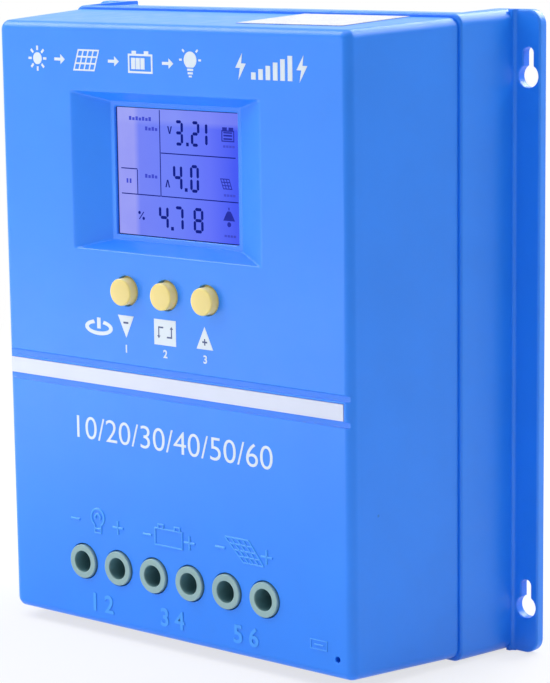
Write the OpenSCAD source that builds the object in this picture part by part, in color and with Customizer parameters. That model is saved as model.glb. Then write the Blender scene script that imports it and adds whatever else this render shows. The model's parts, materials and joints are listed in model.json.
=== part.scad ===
// Wall-mounted solar charge controller: a deep moulded cover on a flanged base, with a display in a
// sloped recess, three buttons, and six screw terminals whose towers reach through the front face.
// X is the width, Z the height, and the front faces -Y. The wall is the plane Y = 0, and the origin
// is the centre of the four keyholes. Depths are measured back from the front face.

/* [Cover] */
// Width of the front face
face_w = 140; // [132:1:175]
// Height of the front face
face_h = 190; // [155:1:240]
// Depth of the cover, from the front face to the seam
cover_d = 43; // [42.5:0.5:60]
// Spread of each side wall between the front face and the seam
flare_x = 7; // [2:0.5:12]
// Spread of the top and bottom walls between the front face and the seam
flare_z = 1.75; // [0.5:0.25:4]
// Wall thickness of the cover and the base
wall_t = 2.5; // [2:0.25:3]
// Radius along the front edges
edge_r = 2.6; // [1.5:0.1:4]

/* [Base] */
// Depth of the base, from the seam to the back plate
base_d = 22.5; // [20:0.5:35]
// Step of the base's rim beyond the cover
rim_step = 1.1; // [0.5:0.1:2]
// Spread of the base's side walls between the rim and the back plate
base_flare_x = 3.2; // [1:0.2:6]
// Spread of the base's top and bottom walls between the rim and the back plate
base_flare_z = 0.55; // [0.25:0.05:2]
// Thickness of the back plate and its flanges
plate_t = 3.5; // [3:0.25:5]
// Width of each side flange
flange_w = 9.1; // [8.5:0.1:20]
// Radius of the flanges' corners
flange_r = 4.5; // [1:0.5:8]
// Depth of the shallow recess along the base's top edge
top_recess_d = 1.5; // [0.5:0.1:2]
// Distance from the recess's ends to the base's corners
top_recess_inset = 7.3; // [4:0.1:20]

/* [Keyholes] */
// Radius of a keyhole's round end, which passes the wall screw's head
keyhole_r = 3.6; // [3:0.1:4]
// Half width of a keyhole's slot, which holds the wall screw's shank
keyhole_slot_r = 2; // [1.5:0.1:2.5]
// Rise from the round end's centre to the slot's end
keyhole_rise = 6.9; // [5:0.1:9]
// Distance from a keyhole's centre to the body's side wall
keyhole_inset = 4.8; // [4:0.1:8]
// Distance from the upper keyholes to the back plate's top edge
keyhole_top = 19.7; // [12:0.1:40]
// Distance from the lower keyholes to the back plate's bottom edge
keyhole_bottom = 14.5; // [8:0.1:40]

/* [Display] */
// Offset of the display, buttons and terminals from the middle of the face
panel_x = -1; // [-3:0.1:3]
// Width of the display recess at the face
recess_w = 76.4; // [70:0.1:90]
// Height of the display recess at the face
recess_h = 48.9; // [46:0.1:55]
// Depth of the display recess
recess_d = 5.5; // [4:0.1:6]
// Width of the display's window
window_w = 49.6; // [40:0.1:52]
// Height of the display's window
window_h = 39.5; // [30:0.1:42]
// Flat rim on each side of the window
window_rim_x = 1.2; // [0.4:0.1:3]
// Flat rim above and below the window
window_rim_z = 1.6; // [0.4:0.1:3]
// Thickness of the window's lip
lip_t = 0.8; // [0.6:0.1:1.5]
// Distance from the face's top edge to the display's centre
display_drop = 45.3; // [40:0.1:50]

/* [Buttons] */
// Radius of a button cap
button_r = 4.25; // [3:0.05:5]
// Spacing of the buttons
button_pitch = 16.4; // [13:0.1:20]
// Height of the caps above the face
button_rise = 3; // [1.5:0.1:5]
// Travel of a button
button_travel = 0.5; // [0.2:0.05:0.7]
// Distance from the face's top edge to the buttons
button_drop = 81.5; // [80:0.1:90]

/* [Stripe] */
// Height of the stripe
stripe_h = 5.3; // [3:0.1:8]
// Distance from the face's bottom edge to the stripe's middle
stripe_height = 80.35; // [40:0.05:85]
// Width of the grooves above and below the stripe
groove_w = 1.9; // [1:0.1:3]
// Depth of the grooves
groove_d = 0.7; // [0.3:0.1:1.2]

/* [Terminals] */
// Spacing of the terminals
terminal_pitch = 15; // [14.5:0.1:16]
// Distance from the face's bottom edge to the terminals
terminal_height = 19.7; // [18:0.1:26]
// Outer radius of a terminal's tower
tower_r = 5.8; // [5.2:0.1:6.5]
// Radius of the screwdriver's way through a tower
tower_bore_r = 3.7; // [3.6:0.1:4.2]
// Height of the towers above the face
tower_rise = 0.8; // [0.2:0.1:2]
// Radius of a terminal screw's thread
screw_r = 2.5; // [2:0.1:2.6]
// Travel of a clamp cage, from open to closed
clamp_travel = 4.8; // [3:0.1:4.8]

/* [Hidden] */
terminal_count = 6;
$fn = 48;

// A thin slice or an overshoot that makes cuts run clear of a face
thin = 0.01;
over = 1;
// Gap between pieces that are laid together, and around pieces that move past others
seat_gap = 0.1;
run_gap = 0.3;
// Gap between a screw's thread and the hole that it cuts or runs in
thread_gap = 0.05;

// The case from front to back
front_y = -(cover_d + base_d + plate_t);
seam_y = -(base_d + plate_t);
floor_y = -plate_t;
seam_w = face_w + 2 * flare_x;
seam_h = face_h + 2 * flare_z;
rim_w = seam_w + 2 * rim_step;
rim_h = seam_h + 2 * rim_step;
back_w = rim_w + 2 * base_flare_x;
back_h = rim_h + 2 * base_flare_z;
plate_w = back_w + 2 * flange_w;
corner_r = edge_r + 0.4;
tongue_t = 1.2;
tongue_l = 3;
// Rise of the body's middle above the keyholes' centre
body_rise = (keyhole_top - keyhole_bottom) / 2;
keyhole_x = back_w / 2 + keyhole_inset;
label_w = 40;
label_l = 32;
label_t = 0.15;
label_x = 40;
label_depth = 26;
stripe_t = 0.3;
stripe_z = stripe_height - face_h / 2;
pinhole_r = 0.9;
pinhole_x = face_w / 2 - 5.7;
pinhole_z = 6.1 - face_h / 2;

// Screws that hold the cover to the base, from the back
case_post_r = 3.5;
case_gap = 0.7;
case_x = seam_w / 2 - wall_t - seat_gap - tongue_t - case_gap - case_post_r;
case_z = seam_h / 2 - 10.75;
case_post_d = 21;
case_screw_r = 1.5;
case_head_r = 2.8;
case_head_h = 2.2;
counterbore_d = 12;

// Display stack, as depths behind the front face
display_z = face_h / 2 - display_drop;
glass_margin = 2;
glass_t = 2.2;
backlight_t = 3.4;
frame_wall = 2;
glass_depth = recess_d + lip_t + seat_gap;
backlight_depth = glass_depth + glass_t;
display_board_depth = backlight_depth + backlight_t;
glass_w = window_w + 2 * glass_margin;
glass_h = window_h + 2 * glass_margin;
display_board_w = 100;
display_board_t = 1.6;
display_board_top = display_z + 36;
display_screw_x = 46;
display_screw_rise = 32;
display_post_r = 3.2;
display_screw_r = 1.2;

// Buttons and the switches behind them
button_z = face_h / 2 - button_drop;
button_names = ["minus", "menu", "plus"];
display_board_bottom = button_z - 12;
button_flange_r = button_r + 1.5;
button_flange_t = 1.2;
button_fillet_r = 0.9;
button_stem_r = 2;
switch_w = 6;
switch_h = 3.5;
plunger_r = 1.75;
plunger_rise = 1;
plunger_l = 2.4;

// Terminals: the housing around each screw, clamp cage and bar, as depths behind the front face
terminal_z = terminal_height - face_h / 2;
housing_w = terminal_pitch - 0.2;
housing_front = 13;
housing_back = 40;
housing_drop = 17;
housing_climb = 11.3;
cavity_w = 10.4;
cavity_front = 16.5;
cavity_back = 37.5;
cavity_climb = 8.8;
floor_t = 2;
entry_w = 9;
entry_front = 27;
terminal_head_r = tower_bore_r - run_gap;
terminal_head_h = 3;
head_seat = 15.2;
neck_r = screw_r + 0.3;
driver_slot_w = 1;
driver_slot_d = 1.6;
bar_w = 6.4;
bar_t = 1.6;
bar_front = 26.6;
bar_tail = 2;
cage_front = cavity_front + run_gap + clamp_travel;
cage_plate_t = 3;
cage_window = 10;
cage_foot_t = 1.8;
cage_side_t = 1.1;
cage_w = 9.6;
cage_h = 9;
screw_tip = bar_front - run_gap;

// Main board, carried on the base's posts
board_depth = housing_back;
board_y = front_y + board_depth;
board_t = 2;
board_back_y = board_y + board_t;
board_w = 2 * (case_x - case_post_r - 1.5);
board_bottom = 4 - face_h / 2;
board_top = face_h / 2 - 5;
board_post_x = board_w / 2 - 6;
board_post_zs = [display_z + 31, display_z - 40, terminal_z + 27];
board_post_r = 4;
board_screw_r = 1.5;
board_screw_l = 8;
slot_gap = 0.3;

// Power parts between the board and the base's floor
spreader_w = 92;
spreader_t = 8;
spreader_bottom = terminal_z + 25;
spreader_top = display_z + 28;
spreader_y = floor_y - spreader_t;
spreader_screw_r = 1.5;
spreader_screw_inset = 5;
spreader_screw_bite = 2.5;
mosfet_zs = [spreader_bottom + 26, spreader_top - 28];
mosfet_pitch = 18;
mosfet_count = 5;
mosfet_w = 10.2;
mosfet_h = 15.2;
mosfet_t = 4.5;
lead_t = 0.9;
lead_pitch = 2.54;
strip_t = 0.3;
clamp_bar_h = 6;
clamp_bar_t = 3;
mosfet_y = spreader_y - strip_t - mosfet_t;

// Power parts in front of the board
core_xs = [-27, 25];
core_z = display_z + 2;
core_r = 16;
core_hole_r = 8;
core_h = 12;
turn_count = 16;
turn_w = 1.8;
turn_t = 0.9;
turn_gap = 0.1;
large_cap_r = 9;
large_cap_l = 31;
large_cap_pitch = 22;
large_cap_z = stripe_z - 4;
small_cap_r = 5;
small_cap_l = 18;
small_cap_pitch = 20;
small_cap_z = large_cap_z + large_cap_r + small_cap_r + 3;
cap_groove_r = 0.6;
fuse_pitch = 30;
fuse_z = terminal_z + 23;
fuse_w = 19;
fuse_t = 4;
fuse_h = 12;
fuse_sink = 4;
holder_wall = 1.5;
holder_h = 8;
prong_w = 5;
prong_t = 0.8;
shunt_w = 5;
shunt_span = 16;
shunt_h = 6;
shunt_x = board_w / 2 - 13;
shunt_z = terminal_z + 37;
chip_z = display_z - 28;
chip_pitch = 24;
chip_w = 10;
chip_h = 7.5;
chip_t = 1.8;
display_chip_x = panel_x - 30;

// Ribbon between the two boards
ribbon_x = -board_w / 2 + 18;
ribbon_z = display_z - 20;
ribbon_w = 20;
ribbon_t = 1.3;
header_w = 26;
header_h = 6;
header_t = 6;

// USB outlet at the bottom edge, to the right of the terminals
usb_x = panel_x + terminal_pitch * 2.5 + 20;
usb_w = 13.2;
usb_t = 5.8;
usb_l = 14;
usb_wall = 0.4;
usb_bottom = terminal_z - housing_drop;
usb_gap = 0.5;
usb_tongue_w = 11;
usb_tongue_t = 1.8;

blue = "#3c86ee";
board_green = "#1f6b3f";

// The depth behind the front face, as a place along Y
function at(depth) = front_y + depth;

// The place along X of terminal i, counted from 1 at the left, and of button i, counted from 0
function terminal_x(i) = panel_x + (i - (terminal_count + 1) / 2) * terminal_pitch;
function button_x(i) = panel_x + (i - 1) * button_pitch;

// Places n things evenly along X about x = 0
function row_x(i, n, pitch) = (i - (n - 1) / 2) * pitch;

// Moves a piece drawn about the body's middle to its place above the keyholes' centre
module on_body() {
    translate([0, 0, body_rise]) children();
}

// A box between two corners
module box(low, high) {
    translate(low) cube(high - low);
}

// A box centred on x and z, from one place along Y to another
module slab(x, z, w, h, y0, y1) {
    box([x - w / 2, y0, z - h / 2], [x + w / 2, y1, z + h / 2]);
}

// A round bar along Y
module rod(x, z, r, y0, y1) {
    translate([x, y0, z]) rotate([-90, 0, 0]) cylinder(r = r, h = y1 - y0);
}

// A flat plate with round corners, facing along Y
module rounded_plate(w, h, r, y0, y1) {
    slab(0, 0, w - 2 * r, h, y0, y1);
    slab(0, 0, w, h - 2 * r, y0, y1);
    for (sx = [-1, 1], sz = [-1, 1]) rod(sx * (w / 2 - r), sz * (h / 2 - r), r, y0, y1);
}

// Four places in a rectangle about the body's middle
module at_corners(x, z) {
    for (sx = [-1, 1], sz = [-1, 1]) translate([sx * x, 0, sz * z]) children();
}

// The cover's outline drawn in by inset, from its front, rounded in steps, to tail beyond the seam
module cover_block(inset, tail) {
    hull() {
        for (turn = [0, 30, 60, 90]) {
            depth = inset + edge_r * (1 - sin(turn));
            at_corners(face_w / 2 - inset - corner_r, face_h / 2 - inset - corner_r)
                rod(0, 0, corner_r - edge_r * (1 - cos(turn)), at(depth), at(depth) + thin, $fn = 24);
        }
        at_corners(seam_w / 2 - inset - corner_r, seam_h / 2 - inset - corner_r)
            rod(0, 0, corner_r, seam_y - thin, seam_y + tail, $fn = 24);
    }
}

// The base's outline drawn in by inset, from the rim at y0 to the back at y1
module base_block(inset, y0, y1) {
    hull() {
        at_corners(rim_w / 2 - inset - corner_r, rim_h / 2 - inset - corner_r)
            rod(0, 0, corner_r, y0, y0 + thin, $fn = 32);
        at_corners(back_w / 2 - inset - corner_r, back_h / 2 - inset - corner_r)
            rod(0, 0, corner_r, y1 - thin, y1, $fn = 32);
    }
}

// The sloped sides of the display recess, between the face and the rim, made larger by extra
module recess_funnel(extra, back) {
    hull() {
        slab(panel_x, display_z, recess_w + 2 * extra, recess_h + 2 * extra, front_y, front_y + thin);
        slab(panel_x, display_z, window_w + 2 * (window_rim_x + extra), window_h + 2 * (window_rim_z + extra),
            at(back) - thin, at(back));
    }
}

// A screw along Y: direction 1 puts its head at y and its tip behind it, and -1 the other way
module machine_screw(x, z, y, direction, r, head_r, head_h, length) {
    translate([x, y, z]) rotate([direction > 0 ? -90 : 90, 0, 0]) difference() {
        union() {
            translate([0, 0, -head_h]) cylinder(r = head_r, h = head_h);
            cylinder(r = r, h = length);
        }
        for (turn = [0, 90]) rotate([0, 0, turn]) {
            translate([-head_r * 0.7, -r * 0.2, -head_h - over])
                cube([head_r * 1.4, r * 0.4, over + head_h * 0.6]);
        }
    }
}

module front_cover() {
    color(blue) on_body() difference() {
        union() {
            difference() {
                cover_block(0, 0);
                cover_block(wall_t, over);
            }
            recess_funnel(wall_t, recess_d + lip_t);
            for (s = [-1, 1]) {
                rod(panel_x + s * display_screw_x, display_z + display_screw_rise, display_post_r,
                    at(wall_t - seat_gap), at(display_board_depth));
                rod(panel_x + s * display_screw_x, button_z - 8, display_post_r,
                    at(wall_t - seat_gap), at(display_board_depth));
            }
            at_corners(case_x, case_z) rod(0, 0, case_post_r, seam_y - case_post_d, seam_y);
        }
        recess_funnel(0, recess_d);
        slab(panel_x, display_z, recess_w, recess_h, front_y - over, front_y + thin);
        slab(panel_x, display_z, window_w, window_h, front_y, at(recess_d + lip_t + over));
        for (i = [0:2]) rod(button_x(i), button_z, button_r + run_gap, front_y - over, at(wall_t + over));
        for (i = [1:terminal_count]) {
            rod(terminal_x(i), terminal_z, tower_r + run_gap, front_y - over, at(wall_t + over));
            box([terminal_x(i) - entry_w / 2 - 1, at(entry_front - 1), -seam_h],
                [terminal_x(i) + entry_w / 2 + 1, at(cavity_back + 1), terminal_z - housing_drop + over]);
        }
        box([usb_x - usb_w / 2 - usb_gap, at(board_depth - usb_t - usb_gap), -seam_h],
            [usb_x + usb_w / 2 + usb_gap, at(board_depth + usb_gap), usb_bottom + over]);
        for (s = [-1, 1]) {
            slab(0, stripe_z + s * (stripe_h + groove_w) / 2, seam_w, groove_w,
                front_y - over, at(groove_d));
            rod(panel_x + s * display_screw_x, display_z + display_screw_rise,
                display_screw_r + thread_gap, at(display_board_depth - 6), at(display_board_depth + over));
            rod(panel_x + s * display_screw_x, button_z - 8, display_screw_r + thread_gap,
                at(display_board_depth - 6), at(display_board_depth + over));
        }
        slab(0, stripe_z, face_w - 2 * edge_r, stripe_h, front_y - over, at(stripe_t));
        rod(pinhole_x, pinhole_z, pinhole_r, front_y - over, at(wall_t + over));
        at_corners(case_x, case_z)
            rod(0, 0, case_screw_r + thread_gap, seam_y - case_post_d + 3, seam_y + over);
    }
}

module keyhole() {
    rod(0, 0, keyhole_r, floor_y - over, over);
    rod(0, keyhole_rise, keyhole_slot_r, floor_y - over, over);
    slab(0, keyhole_rise / 2, 2 * keyhole_slot_r, keyhole_rise, floor_y - over, over);
}

module rear_base() {
    color(blue) on_body() difference() {
        union() {
            difference() {
                base_block(0, seam_y, floor_y);
                base_block(wall_t, seam_y - over, floor_y);
            }
            rounded_plate(plate_w, back_h, flange_r, floor_y, 0);
            difference() {
                cover_tongue(wall_t + seat_gap);
                cover_tongue(wall_t + seat_gap + tongue_t);
            }
            at_corners(case_x, case_z) rod(0, 0, case_post_r + 1, seam_y, floor_y);
            for (s = [-1, 1], z = board_post_zs)
                rod(s * board_post_x, z, board_post_r, board_back_y, floor_y);
        }
        for (s = [-1, 1]) {
            translate([s * keyhole_x, 0, back_h / 2 - keyhole_top]) keyhole();
            translate([s * keyhole_x, 0, keyhole_bottom - back_h / 2]) keyhole();
            for (z = board_post_zs)
                rod(s * board_post_x, z, board_screw_r + thread_gap,
                    board_back_y - over, board_back_y + board_screw_l);
        }
        slab(0, back_h / 2, back_w - 2 * top_recess_inset, 2 * top_recess_d, seam_y + 1.5, over);
        at_corners(case_x, case_z) {
            rod(0, 0, case_screw_r + 0.2, seam_y - over, over);
            rod(0, 0, case_head_r + 0.3, -counterbore_d, over);
        }
        at_corners(spreader_w / 2 - spreader_screw_inset, 0)
            for (z = [spreader_bottom + spreader_screw_inset, spreader_top - spreader_screw_inset])
                rod(0, z, spreader_screw_r + thread_gap, floor_y - over, floor_y + spreader_screw_bite + 0.2);
    }
}

// The block that fills the cover's mouth, for the tongue that centres the base in it
module cover_tongue(inset) {
    slope_x = flare_x / cover_d;
    slope_z = flare_z / cover_d;
    hull() {
        at_corners(seam_w / 2 - inset - corner_r, seam_h / 2 - inset - corner_r)
            rod(0, 0, corner_r, seam_y + over, seam_y + over + thin, $fn = 32);
        at_corners(seam_w / 2 - inset - corner_r - slope_x * (tongue_l + over),
            seam_h / 2 - inset - corner_r - slope_z * (tongue_l + over))
            rod(0, 0, corner_r, seam_y - tongue_l, seam_y - tongue_l + thin, $fn = 32);
    }
}

module front_stripe() {
    color("white") on_body()
        slab(0, stripe_z, face_w - 2 * edge_r, stripe_h, front_y, at(stripe_t));
}

// A blank paper label on the sloping top wall
module top_label() {
    slope = atan(flare_z / cover_d);
    color("whitesmoke") on_body()
        translate([label_x, at(label_depth), face_h / 2 + flare_z * label_depth / cover_d + seat_gap / 2])
            rotate([slope, 0, 0])
                translate([-label_w / 2, -label_l / 2, 0]) cube([label_w, label_l, label_t]);
}

module lcd_glass() {
    color("lightsteelblue") on_body()
        slab(panel_x, display_z, glass_w, glass_h, at(glass_depth), at(backlight_depth));
}

module lcd_backlight() {
    color("white") on_body()
        slab(panel_x, display_z, glass_w, glass_h, at(backlight_depth), at(display_board_depth));
}

// The frame that holds the glass and the backlight together on the display board
module lcd_frame() {
    color("ivory") on_body() difference() {
        slab(panel_x, display_z, glass_w + 2 * frame_wall, glass_h + 2 * frame_wall,
            at(glass_depth), at(display_board_depth));
        slab(panel_x, display_z, glass_w + 2 * seat_gap, glass_h + 2 * seat_gap,
            at(glass_depth) - over, at(display_board_depth) + over);
    }
}

module display_board() {
    color(board_green) on_body() difference() {
        box([panel_x - display_board_w / 2, at(display_board_depth), display_board_bottom],
            [panel_x + display_board_w / 2, at(display_board_depth + display_board_t), display_board_top]);
        for (s = [-1, 1], z = [display_z + display_screw_rise, button_z - 8])
            rod(panel_x + s * display_screw_x, z, display_screw_r + 0.2,
                at(display_board_depth) - over, at(display_board_depth + display_board_t) + over);
    }
}

module display_board_screws() {
    color("silver") on_body()
        for (s = [-1, 1], z = [display_z + display_screw_rise, button_z - 8])
            machine_screw(panel_x + s * display_screw_x, z, at(display_board_depth + display_board_t), -1,
                display_screw_r, 2.2, 1.6, display_board_t + 5);
}

module display_chip() {
    color("dimgray") on_body()
        slab(display_chip_x, display_z, chip_w, chip_w,
            at(display_board_depth + display_board_t), at(display_board_depth + display_board_t + chip_t));
}

// A cap with a rounded front edge, a flange that the cover holds back, and a stem to the switch
module button_cap(i) {
    rise = button_rise + wall_t + run_gap;
    stem_end = display_board_depth - switch_h - plunger_rise;
    color("khaki") on_body()
        translate([button_x(i), at(-button_rise), button_z]) rotate([-90, 0, 0]) union() {
            rotate_extrude() difference() {
                square([button_r, rise]);
                translate([button_r - button_fillet_r, 0]) square(button_fillet_r);
            }
            rotate_extrude() intersection() {
                translate([button_r - button_fillet_r, button_fillet_r]) circle(r = button_fillet_r);
                translate([button_r - button_fillet_r, 0]) square(button_fillet_r);
            }
            translate([0, 0, rise]) cylinder(r = button_flange_r, h = button_flange_t);
            translate([0, 0, rise]) cylinder(r = button_stem_r, h = stem_end - wall_t - run_gap);
        }
}

// The moving plunger of the switch behind button i
module switch_plunger(i) {
    start = display_board_depth - switch_h - plunger_rise;
    color("black") on_body() rod(button_x(i), button_z, plunger_r, at(start), at(start + plunger_l));
}

module switch_housings() {
    color("dimgray") on_body() for (i = [0:2]) difference() {
        slab(button_x(i), button_z, switch_w, switch_w,
            at(display_board_depth - switch_h), at(display_board_depth));
        rod(button_x(i), button_z, plunger_r + thread_gap,
            at(display_board_depth - switch_h) - over,
            at(display_board_depth - switch_h - plunger_rise + plunger_l + button_travel + run_gap));
    }
}

// One pole of the terminal block, with its tower, screw seat, clamp cavity and wire entry
module terminal_housing(i) {
    x = terminal_x(i);
    color("#b9cdbd") on_body() difference() {
        union() {
            box([x - housing_w / 2, at(housing_front), terminal_z - housing_drop],
                [x + housing_w / 2, at(housing_back), terminal_z + housing_climb]);
            rod(x, terminal_z, tower_r, at(-tower_rise), at(housing_front));
        }
        rod(x, terminal_z, tower_bore_r, at(-tower_rise) - over, at(head_seat));
        rod(x, terminal_z, neck_r, at(head_seat) - over, at(cavity_front) + over);
        box([x - cavity_w / 2, at(cavity_front), terminal_z - housing_drop + floor_t],
            [x + cavity_w / 2, at(cavity_back), terminal_z + cavity_climb]);
        box([x - entry_w / 2, at(entry_front), terminal_z - housing_drop - over],
            [x + entry_w / 2, at(cavity_back), terminal_z - housing_drop + floor_t + over]);
        box([x - bar_w / 2 - seat_gap, at(bar_front - seat_gap), terminal_z + cavity_climb - over],
            [x + bar_w / 2 + seat_gap, at(bar_front + bar_t + seat_gap), terminal_z + housing_climb + over]);
    }
}

module terminal_screw(i) {
    color("silver") on_body() translate([terminal_x(i), at(head_seat - seat_gap), terminal_z])
        rotate([-90, 0, 0]) difference() {
            union() {
                translate([0, 0, -terminal_head_h]) cylinder(r = terminal_head_r, h = terminal_head_h);
                cylinder(r = screw_r, h = screw_tip - head_seat + seat_gap);
            }
            for (turn = [0, 90]) rotate([0, 0, turn])
                translate([-terminal_head_r * 0.8, -driver_slot_w / 2, -terminal_head_h - over])
                    cube([terminal_head_r * 1.6, driver_slot_w, over + driver_slot_d]);
        }
}

// The square cage that the screw draws forward to press the wire against the bar
module clamp_cage(i) {
    x = terminal_x(i);
    length = cage_plate_t + cage_window + cage_foot_t;
    color("gray") on_body() difference() {
        slab(x, terminal_z, cage_w, cage_h, at(cage_front), at(cage_front + length));
        slab(x, terminal_z, cage_w - 2 * cage_side_t, cage_h + 2 * over,
            at(cage_front + cage_plate_t), at(cage_front + cage_plate_t + cage_window));
        rod(x, terminal_z, screw_r + thread_gap, at(cage_front) - over, at(cage_front + cage_plate_t) + over);
    }
}

// The bars that carry each terminal's current out of its housing and down through the board
module terminal_bars() {
    color("goldenrod") on_body() for (i = [1:terminal_count]) {
        x = terminal_x(i);
        top = terminal_z + housing_climb + slot_gap + bar_t;
        box([x - bar_w / 2, at(bar_front), terminal_z - cage_h / 2 - 2],
            [x + bar_w / 2, at(bar_front + bar_t), top]);
        box([x - bar_w / 2, at(bar_front), top - bar_t], [x + bar_w / 2, board_back_y + bar_tail, top]);
    }
}

module main_board() {
    color(board_green) on_body() difference() {
        box([-board_w / 2, board_y, board_bottom], [board_w / 2, board_back_y, board_top]);
        for (i = [1:terminal_count])
            slab(terminal_x(i), terminal_z + housing_climb + slot_gap + bar_t / 2,
                bar_w + 2 * seat_gap, bar_t + 2 * seat_gap, board_y - over, board_back_y + over);
        for (s = [-1, 1], z = board_post_zs)
            rod(s * board_post_x, z, board_screw_r + 0.2, board_y - over, board_back_y + over);
    }
}

module main_board_screws() {
    color("silver") on_body() for (s = [-1, 1], z = board_post_zs)
        machine_screw(s * board_post_x, z, board_y, 1, board_screw_r, 2.8, 2, board_t + board_screw_l - 1);
}

module heat_spreader() {
    color("silver") on_body() difference() {
        box([-spreader_w / 2, spreader_y, spreader_bottom], [spreader_w / 2, floor_y, spreader_top]);
        for (s = [-1, 1], z = [spreader_bottom + spreader_screw_inset, spreader_top - spreader_screw_inset])
            rod(s * (spreader_w / 2 - spreader_screw_inset), z, spreader_screw_r + 0.2,
                spreader_y - over, floor_y + over);
        for (z = mosfet_zs, k = [0:mosfet_count - 2])
            rod(row_x(k, mosfet_count - 1, mosfet_pitch), z, spreader_screw_r + thread_gap,
                spreader_y - over, spreader_y + 6);
    }
}

module spreader_screws() {
    color("silver") on_body()
        for (s = [-1, 1], z = [spreader_bottom + spreader_screw_inset, spreader_top - spreader_screw_inset])
            machine_screw(s * (spreader_w / 2 - spreader_screw_inset), z, spreader_y, 1,
                spreader_screw_r, 2.8, 2, spreader_t + spreader_screw_bite);
}

// Transistors lying on the heat spreader, with three leads each that turn forward to the board
module mosfets() {
    color("dimgray") on_body() for (z = mosfet_zs, k = [0:mosfet_count - 1]) {
        x = row_x(k, mosfet_count, mosfet_pitch);
        slab(x, z, mosfet_w, mosfet_h, mosfet_y, mosfet_y + mosfet_t);
        for (lead = [-1:1]) {
            lx = x + lead * lead_pitch;
            box([lx - lead_t / 2, mosfet_y + 1.5, z - mosfet_h / 2 - 3],
                [lx + lead_t / 2, mosfet_y + 1.5 + lead_t, z - mosfet_h / 2]);
            box([lx - lead_t / 2, board_back_y, z - mosfet_h / 2 - 3],
                [lx + lead_t / 2, mosfet_y + 1.5 + lead_t, z - mosfet_h / 2 - 3 + lead_t]);
        }
    }
}

module insulating_strips() {
    color("lightgray") on_body() for (z = mosfet_zs) difference() {
        slab(0, z, mosfet_count * mosfet_pitch, mosfet_h + 2, spreader_y - strip_t, spreader_y);
        for (k = [0:mosfet_count - 2])
            rod(row_x(k, mosfet_count - 1, mosfet_pitch), z, spreader_screw_r + 0.3,
                spreader_y - strip_t - over, spreader_y + over);
    }
}

module clamp_bars() {
    color("gray") on_body() for (z = mosfet_zs) difference() {
        slab(0, z, mosfet_count * mosfet_pitch - 4, clamp_bar_h, mosfet_y - clamp_bar_t, mosfet_y);
        for (k = [0:mosfet_count - 2])
            rod(row_x(k, mosfet_count - 1, mosfet_pitch), z, spreader_screw_r + 0.2,
                mosfet_y - clamp_bar_t - over, mosfet_y + over);
    }
}

module clamp_bar_screws() {
    reach = clamp_bar_t + mosfet_t + strip_t + 5;
    color("silver") on_body() for (z = mosfet_zs, k = [0:mosfet_count - 2])
        machine_screw(row_x(k, mosfet_count - 1, mosfet_pitch), z, mosfet_y - clamp_bar_t, 1,
            spreader_screw_r, 2.8, 2, reach);
}

// Ring cores lying on the board, raised by the thickness of their windings
module inductor_cores() {
    base = board_depth - turn_gap * 2 - turn_t;
    color("darkslategray") on_body() for (x = core_xs) difference() {
        rod(x, core_z, core_r, at(base - core_h), at(base));
        rod(x, core_z, core_hole_r, at(base - core_h) - over, at(base) + over);
    }
}

// Each turn is a loop of copper strip around the core's section
module inductor_windings() {
    base = board_depth - turn_gap * 2 - turn_t;
    color("chocolate") on_body() for (x = core_xs, k = [0:turn_count - 1])
        translate([x, at(base - core_h / 2), core_z]) rotate([0, k * 360 / turn_count, 0]) difference() {
            translate([core_hole_r - turn_gap - turn_t, -core_h / 2 - turn_gap - turn_t, -turn_w / 2])
                cube([core_r - core_hole_r + 2 * (turn_gap + turn_t), core_h + 2 * (turn_gap + turn_t), turn_w]);
            translate([core_hole_r - turn_gap, -core_h / 2 - turn_gap, -turn_w / 2 - over])
                cube([core_r - core_hole_r + 2 * turn_gap, core_h + 2 * turn_gap, turn_w + 2 * over]);
        }
}

// A can capacitor standing on the board, with a groove around its foot
module capacitor(x, z, r, length) {
    difference() {
        rod(x, z, r, at(board_depth - length), board_y);
        translate([x, at(board_depth - 3), z]) rotate([-90, 0, 0])
            rotate_extrude() translate([r + cap_groove_r / 2, 0]) circle(r = cap_groove_r);
    }
}

module large_capacitors() {
    color("midnightblue") on_body()
        for (k = [0:4]) capacitor(row_x(k, 5, large_cap_pitch), large_cap_z, large_cap_r, large_cap_l);
}

module small_capacitors() {
    color("black") on_body()
        for (k = [0:3]) capacitor(row_x(k, 4, small_cap_pitch), small_cap_z, small_cap_r, small_cap_l);
}

module fuse_holders() {
    color("dimgray") on_body() for (k = [0:2]) difference() {
        slab(row_x(k, 3, fuse_pitch), fuse_z, fuse_w + 2 * holder_wall + 1, fuse_t + 2 * holder_wall + 1,
            at(board_depth - holder_h), board_y);
        slab(row_x(k, 3, fuse_pitch), fuse_z, fuse_w + 0.4, fuse_t + 0.4,
            at(board_depth - holder_h) - over, at(board_depth - holder_h + fuse_sink));
        for (s = [-1, 1])
            slab(row_x(k, 3, fuse_pitch) + s * 5, fuse_z, prong_w + 0.2, prong_t + 0.2,
                at(board_depth - holder_h), at(board_depth - 1));
    }
}

module blade_fuses() {
    seat = board_depth - holder_h + fuse_sink;
    color("limegreen") on_body() for (k = [0:2]) {
        slab(row_x(k, 3, fuse_pitch), fuse_z, fuse_w, fuse_t, at(seat - fuse_h), at(seat));
        for (s = [-1, 1])
            slab(row_x(k, 3, fuse_pitch) + s * 5, fuse_z, prong_w, prong_t, at(seat) - thin, at(board_depth - 1.2));
    }
}

// Bridges of resistance strip that measure the current
module current_shunts() {
    color("tan") on_body() for (s = [-1, 1]) {
        x = s * shunt_x;
        box([x - shunt_w / 2, at(board_depth - shunt_h), shunt_z - shunt_span / 2],
            [x + shunt_w / 2, at(board_depth - shunt_h + bar_t), shunt_z + shunt_span / 2]);
        for (e = [-1, 1])
            slab(x, shunt_z + e * (shunt_span - bar_t) / 2, shunt_w, bar_t, at(board_depth - shunt_h), board_y);
    }
}

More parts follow.
